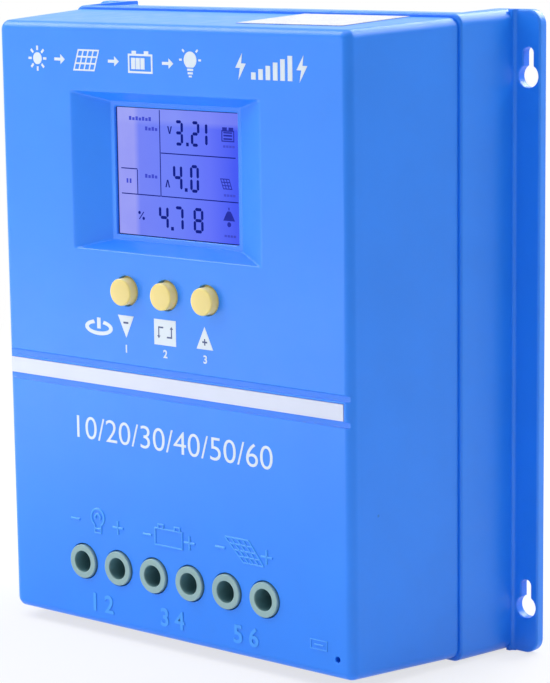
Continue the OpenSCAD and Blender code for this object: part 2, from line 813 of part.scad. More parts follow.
module control_chips() {
    color("dimgray") on_body() for (k = [0:2])
        slab(row_x(k, 3, chip_pitch), chip_z, chip_w, chip_h, at(board_depth - chip_t), board_y);
}

module ribbon_headers() {
    color("dimgray") on_body() {
        slab(ribbon_x, ribbon_z, header_w, header_h, at(board_depth - header_t), board_y);
        slab(ribbon_x, ribbon_z, header_w, header_h,
            at(display_board_depth + display_board_t), at(display_board_depth + display_board_t + header_t));
    }
}

module ribbon_cable() {
    color("lightgray") on_body()
        slab(ribbon_x, ribbon_z, ribbon_w, ribbon_t,
            at(display_board_depth + display_board_t + header_t), at(board_depth - header_t));
}

module usb_shell() {
    color("silver") on_body() difference() {
        box([usb_x - usb_w / 2, at(board_depth - usb_t), usb_bottom], [usb_x + usb_w / 2, board_y, usb_bottom + usb_l]);
        box([usb_x - usb_w / 2 + usb_wall, at(board_depth - usb_t + usb_wall), usb_bottom - over],
            [usb_x + usb_w / 2 - usb_wall, at(board_depth - usb_wall), usb_bottom + usb_l - usb_wall]);
    }
}

module usb_tongue() {
    color("white") on_body()
        box([usb_x - usb_tongue_w / 2, at(board_depth - usb_wall - usb_tongue_t), usb_bottom + 1],
            [usb_x + usb_tongue_w / 2, at(board_depth - usb_wall), usb_bottom + usb_l - usb_wall]);
}

module case_screws() {
    color("silver") on_body() at_corners(case_x, case_z)
        machine_screw(0, 0, -counterbore_d, -1, case_screw_r, case_head_r, case_head_h,
            -counterbore_d - seam_y + case_post_d - 4);
}

front_cover();
rear_base();
front_stripe();
top_label();
lcd_glass();
lcd_backlight();
lcd_frame();
display_board();
display_board_screws();
display_chip();
for (i = [0:2]) button_cap(i);
for (i = [0:2]) switch_plunger(i);
switch_housings();
for (i = [1:terminal_count]) terminal_housing(i);
for (i = [1:terminal_count]) terminal_screw(i);
for (i = [1:terminal_count]) clamp_cage(i);
terminal_bars();
main_board();
main_board_screws();
heat_spreader();
spreader_screws();
mosfets();
insulating_strips();
clamp_bars();
clamp_bar_screws();
inductor_cores();
inductor_windings();
large_capacitors();
small_capacitors();
fuse_holders();
blade_fuses();
current_shunts();
control_chips();
ribbon_headers();
ribbon_cable();
usb_shell();
usb_tongue();
case_screws();
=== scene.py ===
"""The looks of a wall-mounted charge controller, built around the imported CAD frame."""
import json
import math

import bmesh
import bpy
from mathutils import Matrix, Vector


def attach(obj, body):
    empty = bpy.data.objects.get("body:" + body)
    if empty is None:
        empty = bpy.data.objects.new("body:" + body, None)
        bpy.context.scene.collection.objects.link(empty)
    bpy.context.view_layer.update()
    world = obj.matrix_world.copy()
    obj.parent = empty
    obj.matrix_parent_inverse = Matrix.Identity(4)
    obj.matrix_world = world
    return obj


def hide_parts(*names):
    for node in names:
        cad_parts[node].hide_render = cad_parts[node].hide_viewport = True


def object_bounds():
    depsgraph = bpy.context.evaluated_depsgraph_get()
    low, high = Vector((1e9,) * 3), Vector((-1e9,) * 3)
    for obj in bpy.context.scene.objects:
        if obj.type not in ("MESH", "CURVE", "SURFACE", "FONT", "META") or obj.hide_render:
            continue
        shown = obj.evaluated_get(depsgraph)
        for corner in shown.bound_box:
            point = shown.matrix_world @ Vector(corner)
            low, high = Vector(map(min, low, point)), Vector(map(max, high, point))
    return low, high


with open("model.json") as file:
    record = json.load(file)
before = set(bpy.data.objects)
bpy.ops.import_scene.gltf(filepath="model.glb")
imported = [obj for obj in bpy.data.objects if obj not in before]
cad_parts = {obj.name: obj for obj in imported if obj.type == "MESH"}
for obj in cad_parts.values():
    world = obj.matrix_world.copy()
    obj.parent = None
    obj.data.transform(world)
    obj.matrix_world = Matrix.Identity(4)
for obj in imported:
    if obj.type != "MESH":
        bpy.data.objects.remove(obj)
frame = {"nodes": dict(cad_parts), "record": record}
cad_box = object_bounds()
scene = bpy.context.scene

# Sizes in mm. Depth is measured back from the front face, X and Z from the middle of the body.
# FRONT and RISE place the face and the body's middle in the frame.
MM = 0.001
FRONT = -69.0
RISE = 2.6
FACE_W, FACE_H = 140.0, 190.0
COVER_D = 43.0
FLARE_X, FLARE_Z = 7.0, 1.75
WALL = 2.5
EDGE_R = 2.6
BACK_EDGE_R = 0.5
CORNER_R = 3.0
RIM_STEP = 1.1
BASE_FLARE_X, BASE_FLARE_Z = 3.2, 0.55
FLOOR_D = 65.5
BACK_D = 69.0
SEAM_W, SEAM_H = FACE_W + 2 * FLARE_X, FACE_H + 2 * FLARE_Z
RIM_W, RIM_H = SEAM_W + 2 * RIM_STEP, SEAM_H + 2 * RIM_STEP
BACK_W, BACK_H = RIM_W + 2 * BASE_FLARE_X, RIM_H + 2 * BASE_FLARE_Z
PLATE_W = BACK_W + 18.2
FLANGE_R = 4.5
PANEL_X = -1.0
DISPLAY_Z = 49.7
RECESS_W, RECESS_H, RECESS_D = 76.4, 48.9, 5.5
WINDOW_W, WINDOW_H = 49.6, 39.5
RIM_X, RIM_Z = 1.2, 1.6
LIP = 0.8
BUTTON_Z, BUTTON_R, BUTTON_PITCH, BUTTON_RISE = 13.5, 4.25, 16.4, 3.0
BAND_TOP, BAND_LOW = -12.15, -17.15
GROOVES = ((BAND_TOP + 0.75, BAND_TOP + 2.6), (BAND_LOW - 1.95, BAND_LOW - 0.15))
GROOVE_D, POCKET_D = 0.7, 0.45
TERMINAL_Z, TERMINAL_PITCH = -75.3, 15.0
TOWER_R, TOWER_BORE_R, TOWER_RISE = 5.8, 3.7, 0.8
TOWER_EDGE, TOWER_MOUTH = 5.45, 3.45
CAP_R = 4.2
CAP_SLACK = {"minus": (-0.15, -0.13), "menu": (0.0, -0.13), "plus": (0.15, -0.13)}
RUN_GAP = 0.3
BAND_W, BAND_X = FACE_W - 4.2, -0.8
CASE_X, CASE_Z = SEAM_W / 2 - 8, SEAM_H / 2 - 10.75
COVER_POST_R, COVER_POST_L, BASE_POST_R = 3.5, 21, 4.5
BOSS_X, BOSS_R, BOSS_BACK = 46, 3.2, 12
BOSS_ZS = (DISPLAY_Z + 32, BUTTON_Z - 8)
BOARD_Y = 42.0
BOARD_POST_X, BOARD_POST_R = 58, 4
BOARD_POST_ZS = (DISPLAY_Z + 31, DISPLAY_Z - 40, TERMINAL_Z + 27)
ENTRY_D, ENTRY_W, ENTRY_H = 32.25, 11, 12.5
USB_X = PANEL_X + 2.5 * TERMINAL_PITCH + 20
USB_D, USB_W, USB_H = 37.1, 14.2, 6.8
PINHOLE_X, PINHOLE_Z, PINHOLE_R = 64.3, -88.9, 0.9
KEYHOLE_R, KEYHOLE_SLOT_R, KEYHOLE_CLIMB = 3.45, 1.75, 6.9
KEYHOLE_X = BACK_W / 2 + 4.8
KEYHOLE_ZS = (BACK_H / 2 - 19.7, 14.5 - BACK_H / 2)
SCREW_R, SCREW_HEAD_R, SCREW_HEAD_D = 1.7, 3.1, 12
HOUSING_W, HOUSING_FRONT, HOUSING_BACK = 14.8, 13.0, 40.0
HOUSING_LOW, HOUSING_HIGH = TERMINAL_Z - 17, TERMINAL_Z + 11.3
CAVITY_BACK = 37.5
TITLE_Z = 83.6
INK_D, INK_T = -0.06, 0.2
GLASS_D = RECESS_D + LIP + 0.1
WORLD_LIGHT, WORLD_SEEN, FLOOR_SEEN = 0.3, 1.0, 1.0


def place(x, depth, z):
    return (x * MM, (FRONT + depth) * MM, (z + RISE) * MM)


# ---------------------------------------------------------------- meshes

def mesh_object(name, verts, faces):
    mesh = bpy.data.meshes.new(name)
    mesh.from_pydata([place(*v) for v in verts], [], faces)
    work = bmesh.new()
    work.from_mesh(mesh)
    bmesh.ops.recalc_face_normals(work, faces=work.faces)
    work.to_mesh(mesh)
    work.free()
    obj = bpy.data.objects.new(name, mesh)
    scene.collection.objects.link(obj)
    return obj


def loft(name, rings):
    """A closed solid through rings of as many points each."""
    n = len(rings[0])
    verts = [p for ring in rings for p in ring]
    faces = []
    for k in range(len(rings) - 1):
        for i in range(n):
            j = (i + 1) % n
            faces.append((k * n + i, k * n + j, (k + 1) * n + j, (k + 1) * n + i))
    last = (len(rings) - 1) * n
    faces += [tuple(range(n)), tuple(range(last, last + n))]
    return mesh_object(name, verts, faces)


def round_rect(w, h, r, steps=8):
    """The outline of a rectangle with round corners, about 0, 0."""
    r = max(min(r, w / 2 - 0.001, h / 2 - 0.001), 0.01)
    points = []
    for k, (sx, sz) in enumerate(((1, 1), (-1, 1), (-1, -1), (1, -1))):
        for i in range(steps + 1):
            a = math.pi / 2 * (k + i / steps)
            points.append((sx * (w / 2 - r) + r * math.cos(a), sz * (h / 2 - r) + r * math.sin(a)))
    return points


def rect_ring(x, z, w, h, r, depth, steps=8):
    return [(x + u, depth, z + v) for u, v in round_rect(w, h, r, steps)]


def plan_ring(x, depth, w, d, r, z, steps=6):
    """A rounded rectangle in the plane of X and depth, at height z."""
    return [(x + u, depth + v, z) for u, v in round_rect(w, d, r, steps)]


def lathe(name, profile, x, z, n=48):
    """A solid turned about an axis along the depth, from (radius, depth) points."""
    rings = []
    for r, depth in profile:
        r = max(r, 0.002)
        rings.append([(x + r * math.cos(2 * math.pi * i / n), depth,
                       z + r * math.sin(2 * math.pi * i / n)) for i in range(n)])
    return loft(name, rings)


def arc(cx, cy, r, a0, a1, steps):
    """Points on an arc, with the angles in degrees."""
    return [(cx + r * math.cos(math.radians(a0 + (a1 - a0) * i / steps)),
             cy + r * math.sin(math.radians(a0 + (a1 - a0) * i / steps))) for i in range(steps + 1)]


def bake(obj):
    """Applies the modifiers of obj to its mesh."""
    graph = bpy.context.evaluated_depsgraph_get()
    mesh = bpy.data.meshes.new_from_object(obj.evaluated_get(graph))
    obj.modifiers.clear()
    old = obj.data
    obj.data = mesh
    mesh.name = obj.name
    if old.users == 0:
        bpy.data.meshes.remove(old)
    return obj


def combine(obj, tools, operation):
    for tool in tools:
        mod = obj.modifiers.new("cut", "BOOLEAN")
        mod.operation = operation
        mod.solver = "EXACT"
        mod.object = tool
        bpy.context.view_layer.update()
        bake(obj)
    for tool in tools:
        mesh = tool.data
        bpy.data.objects.remove(tool)
        bpy.data.meshes.remove(mesh)
    return obj


def cut(obj, *tools):
    return combine(obj, tools, "DIFFERENCE")


def join(obj, *tools):
    return combine(obj, tools, "UNION")


def finish_mesh(obj, angle=32):
    """Cleans the mesh, and shades it smooth except at edges sharper than angle."""
    work = bmesh.new()
    work.from_mesh(obj.data)
    bmesh.ops.remove_doubles(work, verts=work.verts, dist=2e-6)
    bmesh.ops.dissolve_degenerate(work, edges=work.edges, dist=1e-6)
    bmesh.ops.recalc_face_normals(work, faces=work.faces)
    work.to_mesh(obj.data)
    work.free()
    obj.data.polygons.foreach_set("use_smooth", [True] * len(obj.data.polygons))
    obj.data.set_sharp_from_angle(angle=math.radians(angle))
    mod = obj.modifiers.new("normals", "WEIGHTED_NORMAL")
    mod.keep_sharp = True
    mod.weight = 80
    bpy.context.view_layer.update()
    return bake(obj)


def quarter(steps):
    """Angles from 0 to a right angle, in radians."""
    return [math.radians(90 / steps * i) for i in range(steps + 1)]


def outer(depth, base=False):
    """The body's width and height at a depth."""
    if base:
        t = min((depth - COVER_D) / (FLOOR_D - COVER_D), 1)
        return RIM_W + 2 * BASE_FLARE_X * t, RIM_H + 2 * BASE_FLARE_Z * t
    t = depth / COVER_D
    return FACE_W + 2 * FLARE_X * t, FACE_H + 2 * FLARE_Z * t


def body_ring(depth, inset, r, base=False):
    w, h = outer(depth, base)
    return rect_ring(0, 0, w - 2 * inset, h - 2 * inset, r, depth, 10)


def rod(x, z, r, d0, d1):
    return lathe("rod", [(r, d0), (r, d1)], x, z, 24)


def hole(x, z, r, lip, n=64):
    """A cutter for a round hole through the face, with its mouth rounded by lip."""
    profile = [(r + lip + 1, -1)]
    profile += [(r + lip - lip * math.sin(a), lip - lip * math.cos(a)) for a in quarter(6)]
    profile.append((r, WALL + 1))
    return lathe("hole", profile, x, z, n)


def fasten(obj, body, slot, *nodes):
    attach(obj, body)
    if nodes:
        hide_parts(*nodes)
    return obj


# ---------------------------------------------------------------- materials

def new_material(name):
    mat = bpy.data.materials.new(name)
    mat.use_nodes = True
    nodes = mat.node_tree.nodes
    nodes.clear()
    out = nodes.new("ShaderNodeOutputMaterial")
    shader = nodes.new("ShaderNodeBsdfPrincipled")
    mat.node_tree.links.new(shader.outputs[0], out.inputs[0])
    return mat, shader


def shader_of(mat):
    return mat.node_tree.nodes["Principled BSDF"]


def add(mat, kind, **values):
    node = mat.node_tree.nodes.new(kind)
    for key, value in values.items():
        if key in node.inputs:
            node.inputs[key].default_value = value
        else:
            setattr(node, key, value)
    return node


def link(mat, a, b):
    mat.node_tree.links.new(a, b)


def noise(mat, coords, scale, detail=2.0, rough=0.5):
    node = add(mat, "ShaderNodeTexNoise")
    node.inputs["Scale"].default_value = scale
    node.inputs["Detail"].default_value = detail
    node.inputs["Roughness"].default_value = rough
    link(mat, coords, node.inputs["Vector"])
    return node.outputs["Fac"]


def remap(mat, value, a, b, c, d):
    node = add(mat, "ShaderNodeMapRange")
    for socket, v in zip(("From Min", "From Max", "To Min", "To Max"), (a, b, c, d)):
        node.inputs[socket].default_value = v
    link(mat, value, node.inputs["Value"])
    return node.outputs["Result"]


def mix_color(mat, factor, a, b):
    node = add(mat, "ShaderNodeMix", data_type="RGBA")
    link(mat, factor, node.inputs[0])
    for socket, v in ((node.inputs[6], a), (node.inputs[7], b)):
        if isinstance(v, tuple):
            socket.default_value = (*v, 1)
        else:
            link(mat, v, socket)
    return node.outputs[2]


def math_node(mat, operation, a, b):
    node = add(mat, "ShaderNodeMath", operation=operation)
    for socket, v in zip(node.inputs, (a, b)):
        if isinstance(v, (int, float)):
            socket.default_value = v
        else:
            link(mat, v, socket)
    return node.outputs[0]


def bump(mat, shader, heights):
    """Stacks bumps, each (height socket, distance in metres)."""
    normal = None
    for height, distance in heights:
        node = add(mat, "ShaderNodeBump")
        node.inputs["Strength"].default_value = 1.0
        node.inputs["Distance"].default_value = distance
        link(mat, height, node.inputs["Height"])
        if normal is not None:
            link(mat, normal, node.inputs["Normal"])
        normal = node.outputs["Normal"]
    link(mat, normal, shader.inputs["Normal"])


def coords_of(mat):
    return add(mat, "ShaderNodeTexCoord").outputs["Object"]


def tone(color, gain):
    return tuple(min(c * gain, 1.0) for c in color)


def plastic(name, color, rough=0.4, ior=1.46, spread=0.05, grain=1.0, coat=0.0, specks=0.0):
    """Moulded plastic: slow colour drift, an even fine grain, and a faint waviness."""
    mat, shader = new_material(name)
    at = coords_of(mat)
    drift = noise(mat, at, 45, 3)
    tint = mix_color(mat, remap(mat, drift, 0.3, 0.7, 0, 1),
                     tone(color, 1 - spread), tone(color, 1 + spread))
    if specks:
        cells = add(mat, "ShaderNodeTexVoronoi")
        cells.inputs["Scale"].default_value = 70
        link(mat, at, cells.inputs["Vector"])
        dot = remap(mat, cells.outputs["Distance"], 0.02, 0.045, 1, 0)
        rare = remap(mat, noise(mat, at, 30, 1), 0.6, 0.66, 0, specks)
        tint = mix_color(mat, math_node(mat, "MULTIPLY", dot, rare), tint, tone(color, 0.35))
    link(mat, tint, shader.inputs["Base Color"])
    wear = noise(mat, at, 160, 4, 0.6)
    link(mat, remap(mat, wear, 0.25, 0.75, rough - 0.05, rough + 0.06), shader.inputs["Roughness"])
    shader.inputs["IOR"].default_value = ior
    if coat:
        shader.inputs["Coat Weight"].default_value = coat
        shader.inputs["Coat Roughness"].default_value = 0.12
    bump(mat, shader, [(noise(mat, at, 2600, 2), 0.000012 * grain),
                       (noise(mat, at, 260, 1), 0.00002 * grain)])
    return mat


def fade_by_depth(mat, color, start, end):
    """Fades a plastic to color between two depths behind the face; the callers paint light and
    shade with it.
    """
    shader = shader_of(mat)
    tint = shader.inputs["Base Color"].links[0].from_socket
    split = add(mat, "ShaderNodeSeparateXYZ")
    link(mat, coords_of(mat), split.inputs[0])
    deep = remap(mat, split.outputs["Y"], (FRONT + start) * MM, (FRONT + end) * MM, 0, 1)
    link(mat, mix_color(mat, deep, tint, color), shader.inputs["Base Color"])


def printed_rows(mat, color, pitch):
    """Rows of small grey marks across a label, too fine to read."""
    shader = shader_of(mat)
    tint = shader.inputs["Base Color"].links[0].from_socket
    at = coords_of(mat)
    split = add(mat, "ShaderNodeSeparateXYZ")
    link(mat, at, split.inputs[0])
    turns = math_node(mat, "MULTIPLY", split.outputs["Y"], 2 * math.pi / pitch)
    wave = math_node(mat, "SINE", turns, 0)
    rows = remap(mat, wave, 0.1, 0.4, 0, 1)
    words = remap(mat, noise(mat, at, 1500, 1), 0.48, 0.54, 0, 0.9)
    groups = remap(mat, noise(mat, at, 150, 1), 0.42, 0.46, 0, 1)
    marks = math_node(mat, "MULTIPLY", math_node(mat, "MULTIPLY", rows, words), groups)
    link(mat, mix_color(mat, marks, tint, color), shader.inputs["Base Color"])


def metal(name, color, rough=0.3, scratch=1.0):
    """Plated or machined metal: fine streaks, faint cloudiness and a slightly uneven polish."""
    mat, shader = new_material(name)
    at = coords_of(mat)
    stretch = add(mat, "ShaderNodeMapping")
    stretch.inputs["Scale"].default_value = (1.0, 8.0, 1.0)
    link(mat, at, stretch.inputs["Vector"])
    streaks = noise(mat, stretch.outputs[0], 900, 3)
    cloud = noise(mat, at, 180, 3)
    tint = mix_color(mat, cloud, tone(color, 0.86), tone(color, 1.1))
    link(mat, tint, shader.inputs["Base Color"])
    shader.inputs["Metallic"].default_value = 1.0
    polish = remap(mat, streaks, 0.2, 0.8, rough - 0.08, rough + 0.1)
    link(mat, polish, shader.inputs["Roughness"])
    bump(mat, shader, [(streaks, 0.000006 * scratch)])
    return mat


blue = plastic("blue_plastic", (0.014, 0.232, 0.95), rough=0.34, ior=1.47, spread=0.025,
               specks=0.5)
# A lighter copy of the body's blue for the moulded ridges and numbers: a painted highlight, as they
# are the same plastic as the face.
raised = plastic("blue_painted_highlight", (0.044, 0.33, 0.96), rough=0.34, ior=1.5, spread=0.03)
ink = plastic("white_ink", (0.69, 0.775, 0.86), rough=0.5, spread=0.02, grain=0.6)
dark_ink = plastic("dark_ink", (0.045, 0.075, 0.22), rough=0.5, spread=0.05, grain=0.6)
stripe_white = plastic("stripe_white", (0.66, 0.71, 0.86), rough=0.42, spread=0.02, grain=0.6)
paper = plastic("label_paper", (0.58, 0.59, 0.62), rough=0.65, spread=0.03, grain=2.0)
printed_rows(paper, (0.41, 0.41, 0.45), 0.0017)
shader_of(paper).inputs["Specular IOR Level"].default_value = 0.2
yellow = plastic("yellow_plastic", (0.575, 0.47, 0.144), rough=0.38, spread=0.03, coat=0.5)
# The emission is painted light: the caps glow a little, which lifts their shaded sides towards the
# brightness of the top.
for socket, value in (("Subsurface Weight", 0.6), ("Subsurface Radius", (1.0, 0.8, 0.3)),
                      ("Subsurface Scale", 0.004), ("Emission Color", (0.85, 0.68, 0.24, 1)),
                      ("Emission Strength", 0.22)):
    shader_of(yellow).inputs[socket].default_value = value
# Painted light: the caps' side walls turn paler from just behind the top, so they show about as
# bright as the lit top.
fade_by_depth(yellow, (0.75, 0.61, 0.21), -BUTTON_RISE + 0.2, -BUTTON_RISE + 0.75)
tower = plastic("grey_green_plastic", (0.27, 0.425, 0.425), rough=0.45, spread=0.05)
# Painted shade: the bores darken from just behind the tower's rim, where the light does not reach.
fade_by_depth(tower, (0.14, 0.30, 0.335), -TOWER_RISE + 0.15, -TOWER_RISE + 1.0)
white_part = plastic("white_plastic", (0.70, 0.70, 0.66), rough=0.45)
black = plastic("black_plastic", (0.02, 0.02, 0.023), rough=0.42)
grey = plastic("grey_plastic", (0.17, 0.175, 0.19), rough=0.42)
sleeve = plastic("cap_sleeve", (0.006, 0.008, 0.03), rough=0.25, coat=0.4)
fuse = plastic("fuse_green", (0.035, 0.34, 0.05), rough=0.2)
core = plastic("ferrite", (0.01, 0.04, 0.033), rough=0.5, grain=4.0)
board = plastic("board_green", (0.006, 0.085, 0.025), rough=0.3, spread=0.15)
zinc = metal("zinc_steel", (0.58, 0.59, 0.60), rough=0.33)
tin = metal("tinned_copper", (0.66, 0.60, 0.44), rough=0.35)
alloy = metal("aluminium", (0.60, 0.61, 0.63), rough=0.42)
copper = metal("copper", (0.60, 0.21, 0.09), rough=0.3)
shunt = metal("shunt_alloy", (0.42, 0.26, 0.13), rough=0.38)
bright = metal("bright_steel", (0.68, 0.69, 0.71), rough=0.22)


def display_material():
    """Backlit glass, deeper to the right; the paler strip at the left and the band along the top
    are a painted reflection.
    """
    mat, shader = new_material("lcd_glass")
    at = coords_of(mat)
    split = add(mat, "ShaderNodeSeparateXYZ")
    link(mat, at, split.inputs[0])
    across = remap(mat, split.outputs["X"], (PANEL_X - WINDOW_W / 2) * MM,
                   (PANEL_X + WINDOW_W / 2) * MM, 0, 1)
    ramp = add(mat, "ShaderNodeValToRGB")
    # The first two stops are a painted reflection: a paler strip along the left of the window.
    stops = ((0.0, (0.34, 0.36, 0.95)), (0.14, (0.33, 0.35, 0.95)),
             (0.185, (0.16, 0.22, 0.95)), (0.52, (0.135, 0.205, 0.98)),
             (0.76, (0.105, 0.155, 0.98)), (0.96, (0.035, 0.08, 0.93)))
    while len(ramp.color_ramp.elements) < len(stops):
        ramp.color_ramp.elements.new(0.5)
    for element, (share, color) in zip(ramp.color_ramp.elements, stops):
        element.position = share
        element.color = (*color, 1)
    link(mat, across, ramp.inputs[0])
    top = (DISPLAY_Z + WINDOW_H / 2 + RISE) * MM
    # Painted reflection: a paler band along the top of the window.
    top_reflection = remap(mat, split.outputs["Z"], top - 0.0055, top - 0.0035, 0, 0.3)
    color = mix_color(mat, top_reflection, ramp.outputs[0], (0.42, 0.46, 0.97))
    clouds = remap(mat, noise(mat, at, 90, 3), 0.35, 0.65, 0, 0.14)
    mottled = mix_color(mat, clouds, color, (0.10, 0.13, 0.90))
    link(mat, mottled, shader.inputs["Emission Color"])
    shader.inputs["Emission Strength"].default_value = 0.93
    shader.inputs["Base Color"].default_value = (0.005, 0.005, 0.02, 1)
    shader.inputs["Specular IOR Level"].default_value = 0.12
    smear = remap(mat, noise(mat, at, 60, 2), 0.3, 0.7, 0.07, 0.12)
    link(mat, smear, shader.inputs["Roughness"])
    return mat


def lit_material(name, color):
    """A matt mark that shows at its own colour, whatever the lamps do."""
    mat, shader = new_material(name)
    at = coords_of(mat)
    tint = mix_color(mat, noise(mat, at, 300, 2), tone(color, 0.8), tone(color, 1.2))
    link(mat, tint, shader.inputs["Emission Color"])
    shader.inputs["Emission Strength"].default_value = 1.0
    shader.inputs["Base Color"].default_value = (0.002, 0.003, 0.01, 1)
    shader.inputs["Specular IOR Level"].default_value = 0.0
    shader.inputs["Roughness"].default_value = 0.6
    return mat


glass = display_material()
segment_dark = lit_material("segment_dark", (0.004, 0.012, 0.22))
segment_mid = lit_material("segment_mid", (0.020, 0.030, 0.36))
segment_faint = lit_material("segment_faint", (0.055, 0.075, 0.62))
# Painted shade: a dark strip shown at its own colour, standing in for the shadowed gap between the
# glass and the window.
window_edge_shade = lit_material("painted_window_shade", (0.004, 0.010, 0.06))

SLOTS = {
    "blue_plastic": blue, "white_ink": ink, "label_paper": paper, "lcd_glass": glass,
    "backlight": white_part, "white_plastic": white_part, "board_green": board,
    "yellow_plastic": yellow, "black_plastic": black, "grey_green_plastic": tower,
    "zinc_steel": zinc, "tinned_copper": tin, "aluminium": alloy, "ferrite": core,
    "copper": copper, "cap_sleeve": sleeve, "fuse_green": fuse, "shunt_alloy": shunt,
    "grey_plastic": grey, "bright_steel": bright}
for part in frame["record"]["subparts"]:
    mesh = frame["nodes"][part["node"]].data
    mesh.materials.clear()
    mesh.materials.append(SLOTS[part["material_slot"]])


def paint(obj, mat):
    obj.data.materials.clear()
    obj.data.materials.append(mat)
    for polygon in obj.data.polygons:
        polygon.material_index = 0
    return obj


# ---------------------------------------------------------------- cover

def cover_outline():
    """The cover's outside, with a round front edge and a small one at the seam."""
    rings = []
    for a in quarter(10):
        depth = EDGE_R * (1 - math.cos(a))
        inset = EDGE_R * (1 - math.sin(a))
        rings.append(body_ring(depth, inset, CORNER_R - 0.92 * inset))
    rings.append(body_ring(COVER_D / 2, 0, CORNER_R))
    for a in quarter(4):
        rings.append(body_ring(COVER_D - BACK_EDGE_R * (1 - math.sin(a)),
                               BACK_EDGE_R * (1 - math.cos(a)), CORNER_R))
    return loft("cover_shell", rings)


def funnel(extra, mouth, foot, over):
    """The display's sloped recess: mouth rounds its edge at the face, foot shortens its slope.

    over carries it that far past the face, as a cutter.
    """
    rings = []
    w1, h1 = WINDOW_W + 2 * RIM_X, WINDOW_H + 2 * RIM_Z
    slope_x, slope_z = (RECESS_W - w1) / 2 / RECESS_D, (RECESS_H - h1) / 2 / RECESS_D

    def ring(depth, grow, r):
        return rect_ring(PANEL_X, DISPLAY_Z, RECESS_W - 2 * slope_x * depth + 2 * (grow + extra),
                         RECESS_H - 2 * slope_z * depth + 2 * (grow + extra), r, depth, 4)

    if over:
        rings.append(ring(0, mouth + 2, 3))
        rings[0] = [(x, -over, z) for x, _, z in rings[0]]
        for t in [i / 5 for i in range(6)]:
            rings.append(ring(mouth * t * t, mouth * (1 - t) * (1 - t), 0.9))
    else:
        rings.append(ring(0, 0, 0.9))
    rings.append(ring(RECESS_D / 2, 0, 0.75))
    rings.append(ring(RECESS_D - foot, 0, 0.6))
    rings.append(ring(RECESS_D, 0, 0.6))
    return loft("funnel", rings)


def build_cover():
    cover = cover_outline()
    cavity = loft("cavity", [rect_ring(0, 0, w - 2 * WALL, h - 2 * WALL, 0.8, depth, 6)
                             for w, h, depth in ((FACE_W, FACE_H, WALL), (SEAM_W, SEAM_H, COVER_D),
                                                 (SEAM_W, SEAM_H, COVER_D + 2))])
    tray = funnel(WALL, 0, 0, 0)
    lip = loft("lip", [rect_ring(PANEL_X, DISPLAY_Z, WINDOW_W + 7, WINDOW_H + 8, 1, depth, 4)
                       for depth in (2, RECESS_D + LIP)])
    join(tray, lip)
    cut(cavity, tray)
    for sx in (-1, 1):
        for sz in (-1, 1):
            cut(cavity, rod(sx * CASE_X, sz * CASE_Z, COVER_POST_R,
                            COVER_D - COVER_POST_L, COVER_D + 3))
        for z in BOSS_ZS:
            cut(cavity, rod(PANEL_X + sx * BOSS_X, z, BOSS_R, 1, BOSS_BACK))
    cut(cover, cavity)
    cut(cover, funnel(0, 0.45, 0.3, 1))
    window = loft("window", [
        rect_ring(PANEL_X, DISPLAY_Z, WINDOW_W + grow, WINDOW_H + grow, r, depth, 4)
        for grow, r, depth in ((0.5, 0.5, RECESS_D - 0.5), (0.5, 0.5, RECESS_D),
                               (0, 0.4, RECESS_D + 0.25), (0, 0.4, RECESS_D + LIP + 1))])
    cut(cover, window)
    for i in range(3):
        x = PANEL_X + (i - 1) * BUTTON_PITCH
        cut(cover, hole(x, BUTTON_Z, BUTTON_R + 0.45, 0.25))
    for i in range(6):
        cut(cover, hole(terminal_x(i), TERMINAL_Z, TOWER_EDGE + 0.3, 0.3))
        cut(cover, bottom_window(terminal_x(i), ENTRY_D, ENTRY_W, ENTRY_H))
    cut(cover, bottom_window(USB_X, USB_D, USB_W, USB_H))
    cut(cover, hole(PINHOLE_X, PINHOLE_Z, PINHOLE_R, 0.25, 32))
    cut(cover, *[groove(low, high) for low, high in GROOVES])
    middle, h = (BAND_TOP + BAND_LOW) / 2, BAND_TOP - BAND_LOW
    cut(cover, loft("pocket", [rect_ring(BAND_X, middle, BAND_W + 0.5, h + 0.36, 0.3, depth, 3)
                               for depth in (-1, POCKET_D)]))
    return paint(finish_mesh(cover), blue)


def terminal_x(i):
    return PANEL_X + (i - 2.5) * TERMINAL_PITCH


def bottom_window(x, depth, w, d):
    """A cutter for an opening in the bottom wall, with a rounded mouth."""
    bottom = -FACE_H / 2 - FLARE_Z * depth / COVER_D
    rings = [plan_ring(x, depth, w + 1.6, d + 1.6, 1.2, bottom - 2)]
    for a in quarter(4):
        grow = 0.8 * (1 - math.sin(a))
        rings.append(plan_ring(x, depth, w + grow, d + grow, 0.6 + grow / 2,
                               bottom + 0.4 * (1 - math.cos(a))))
    rings.append(plan_ring(x, depth, w, d, 0.6, bottom + WALL + 2))
    return loft("window", rings)


def groove(low, high):
    """A cutter for a groove across the face and its side edges, with softened lips."""
    half = (high - low) / 2
    section = [(half + 1.2, -1), (half + 0.3, 0), (half + 0.16, 0.03), (half + 0.06, 0.12),
               (half, 0.28), (half - 0.03, GROOVE_D - 0.2), (half - 0.25, GROOVE_D)]
    section += [(-u, d) for u, d in reversed(section)]
    return loft("groove", [[(x, d, (low + high) / 2 + u) for u, d in section]
                           for x in (-FACE_W, FACE_W)])


fasten(build_cover(), "case", "blue_plastic", "front_cover")


# ---------------------------------------------------------------- base

def keyhole_ring(x, z, depth, grow, steps=16):
    r, slot_r = KEYHOLE_R + grow, KEYHOLE_SLOT_R + grow
    low = math.degrees(math.acos(slot_r / r))
    points = arc(0, KEYHOLE_CLIMB, slot_r, 0, 180, steps)
    points += arc(0, 0, r, 180 - low, 360 + low, 2 * steps)
    return [(x + u, depth, z + v) for u, v in points]


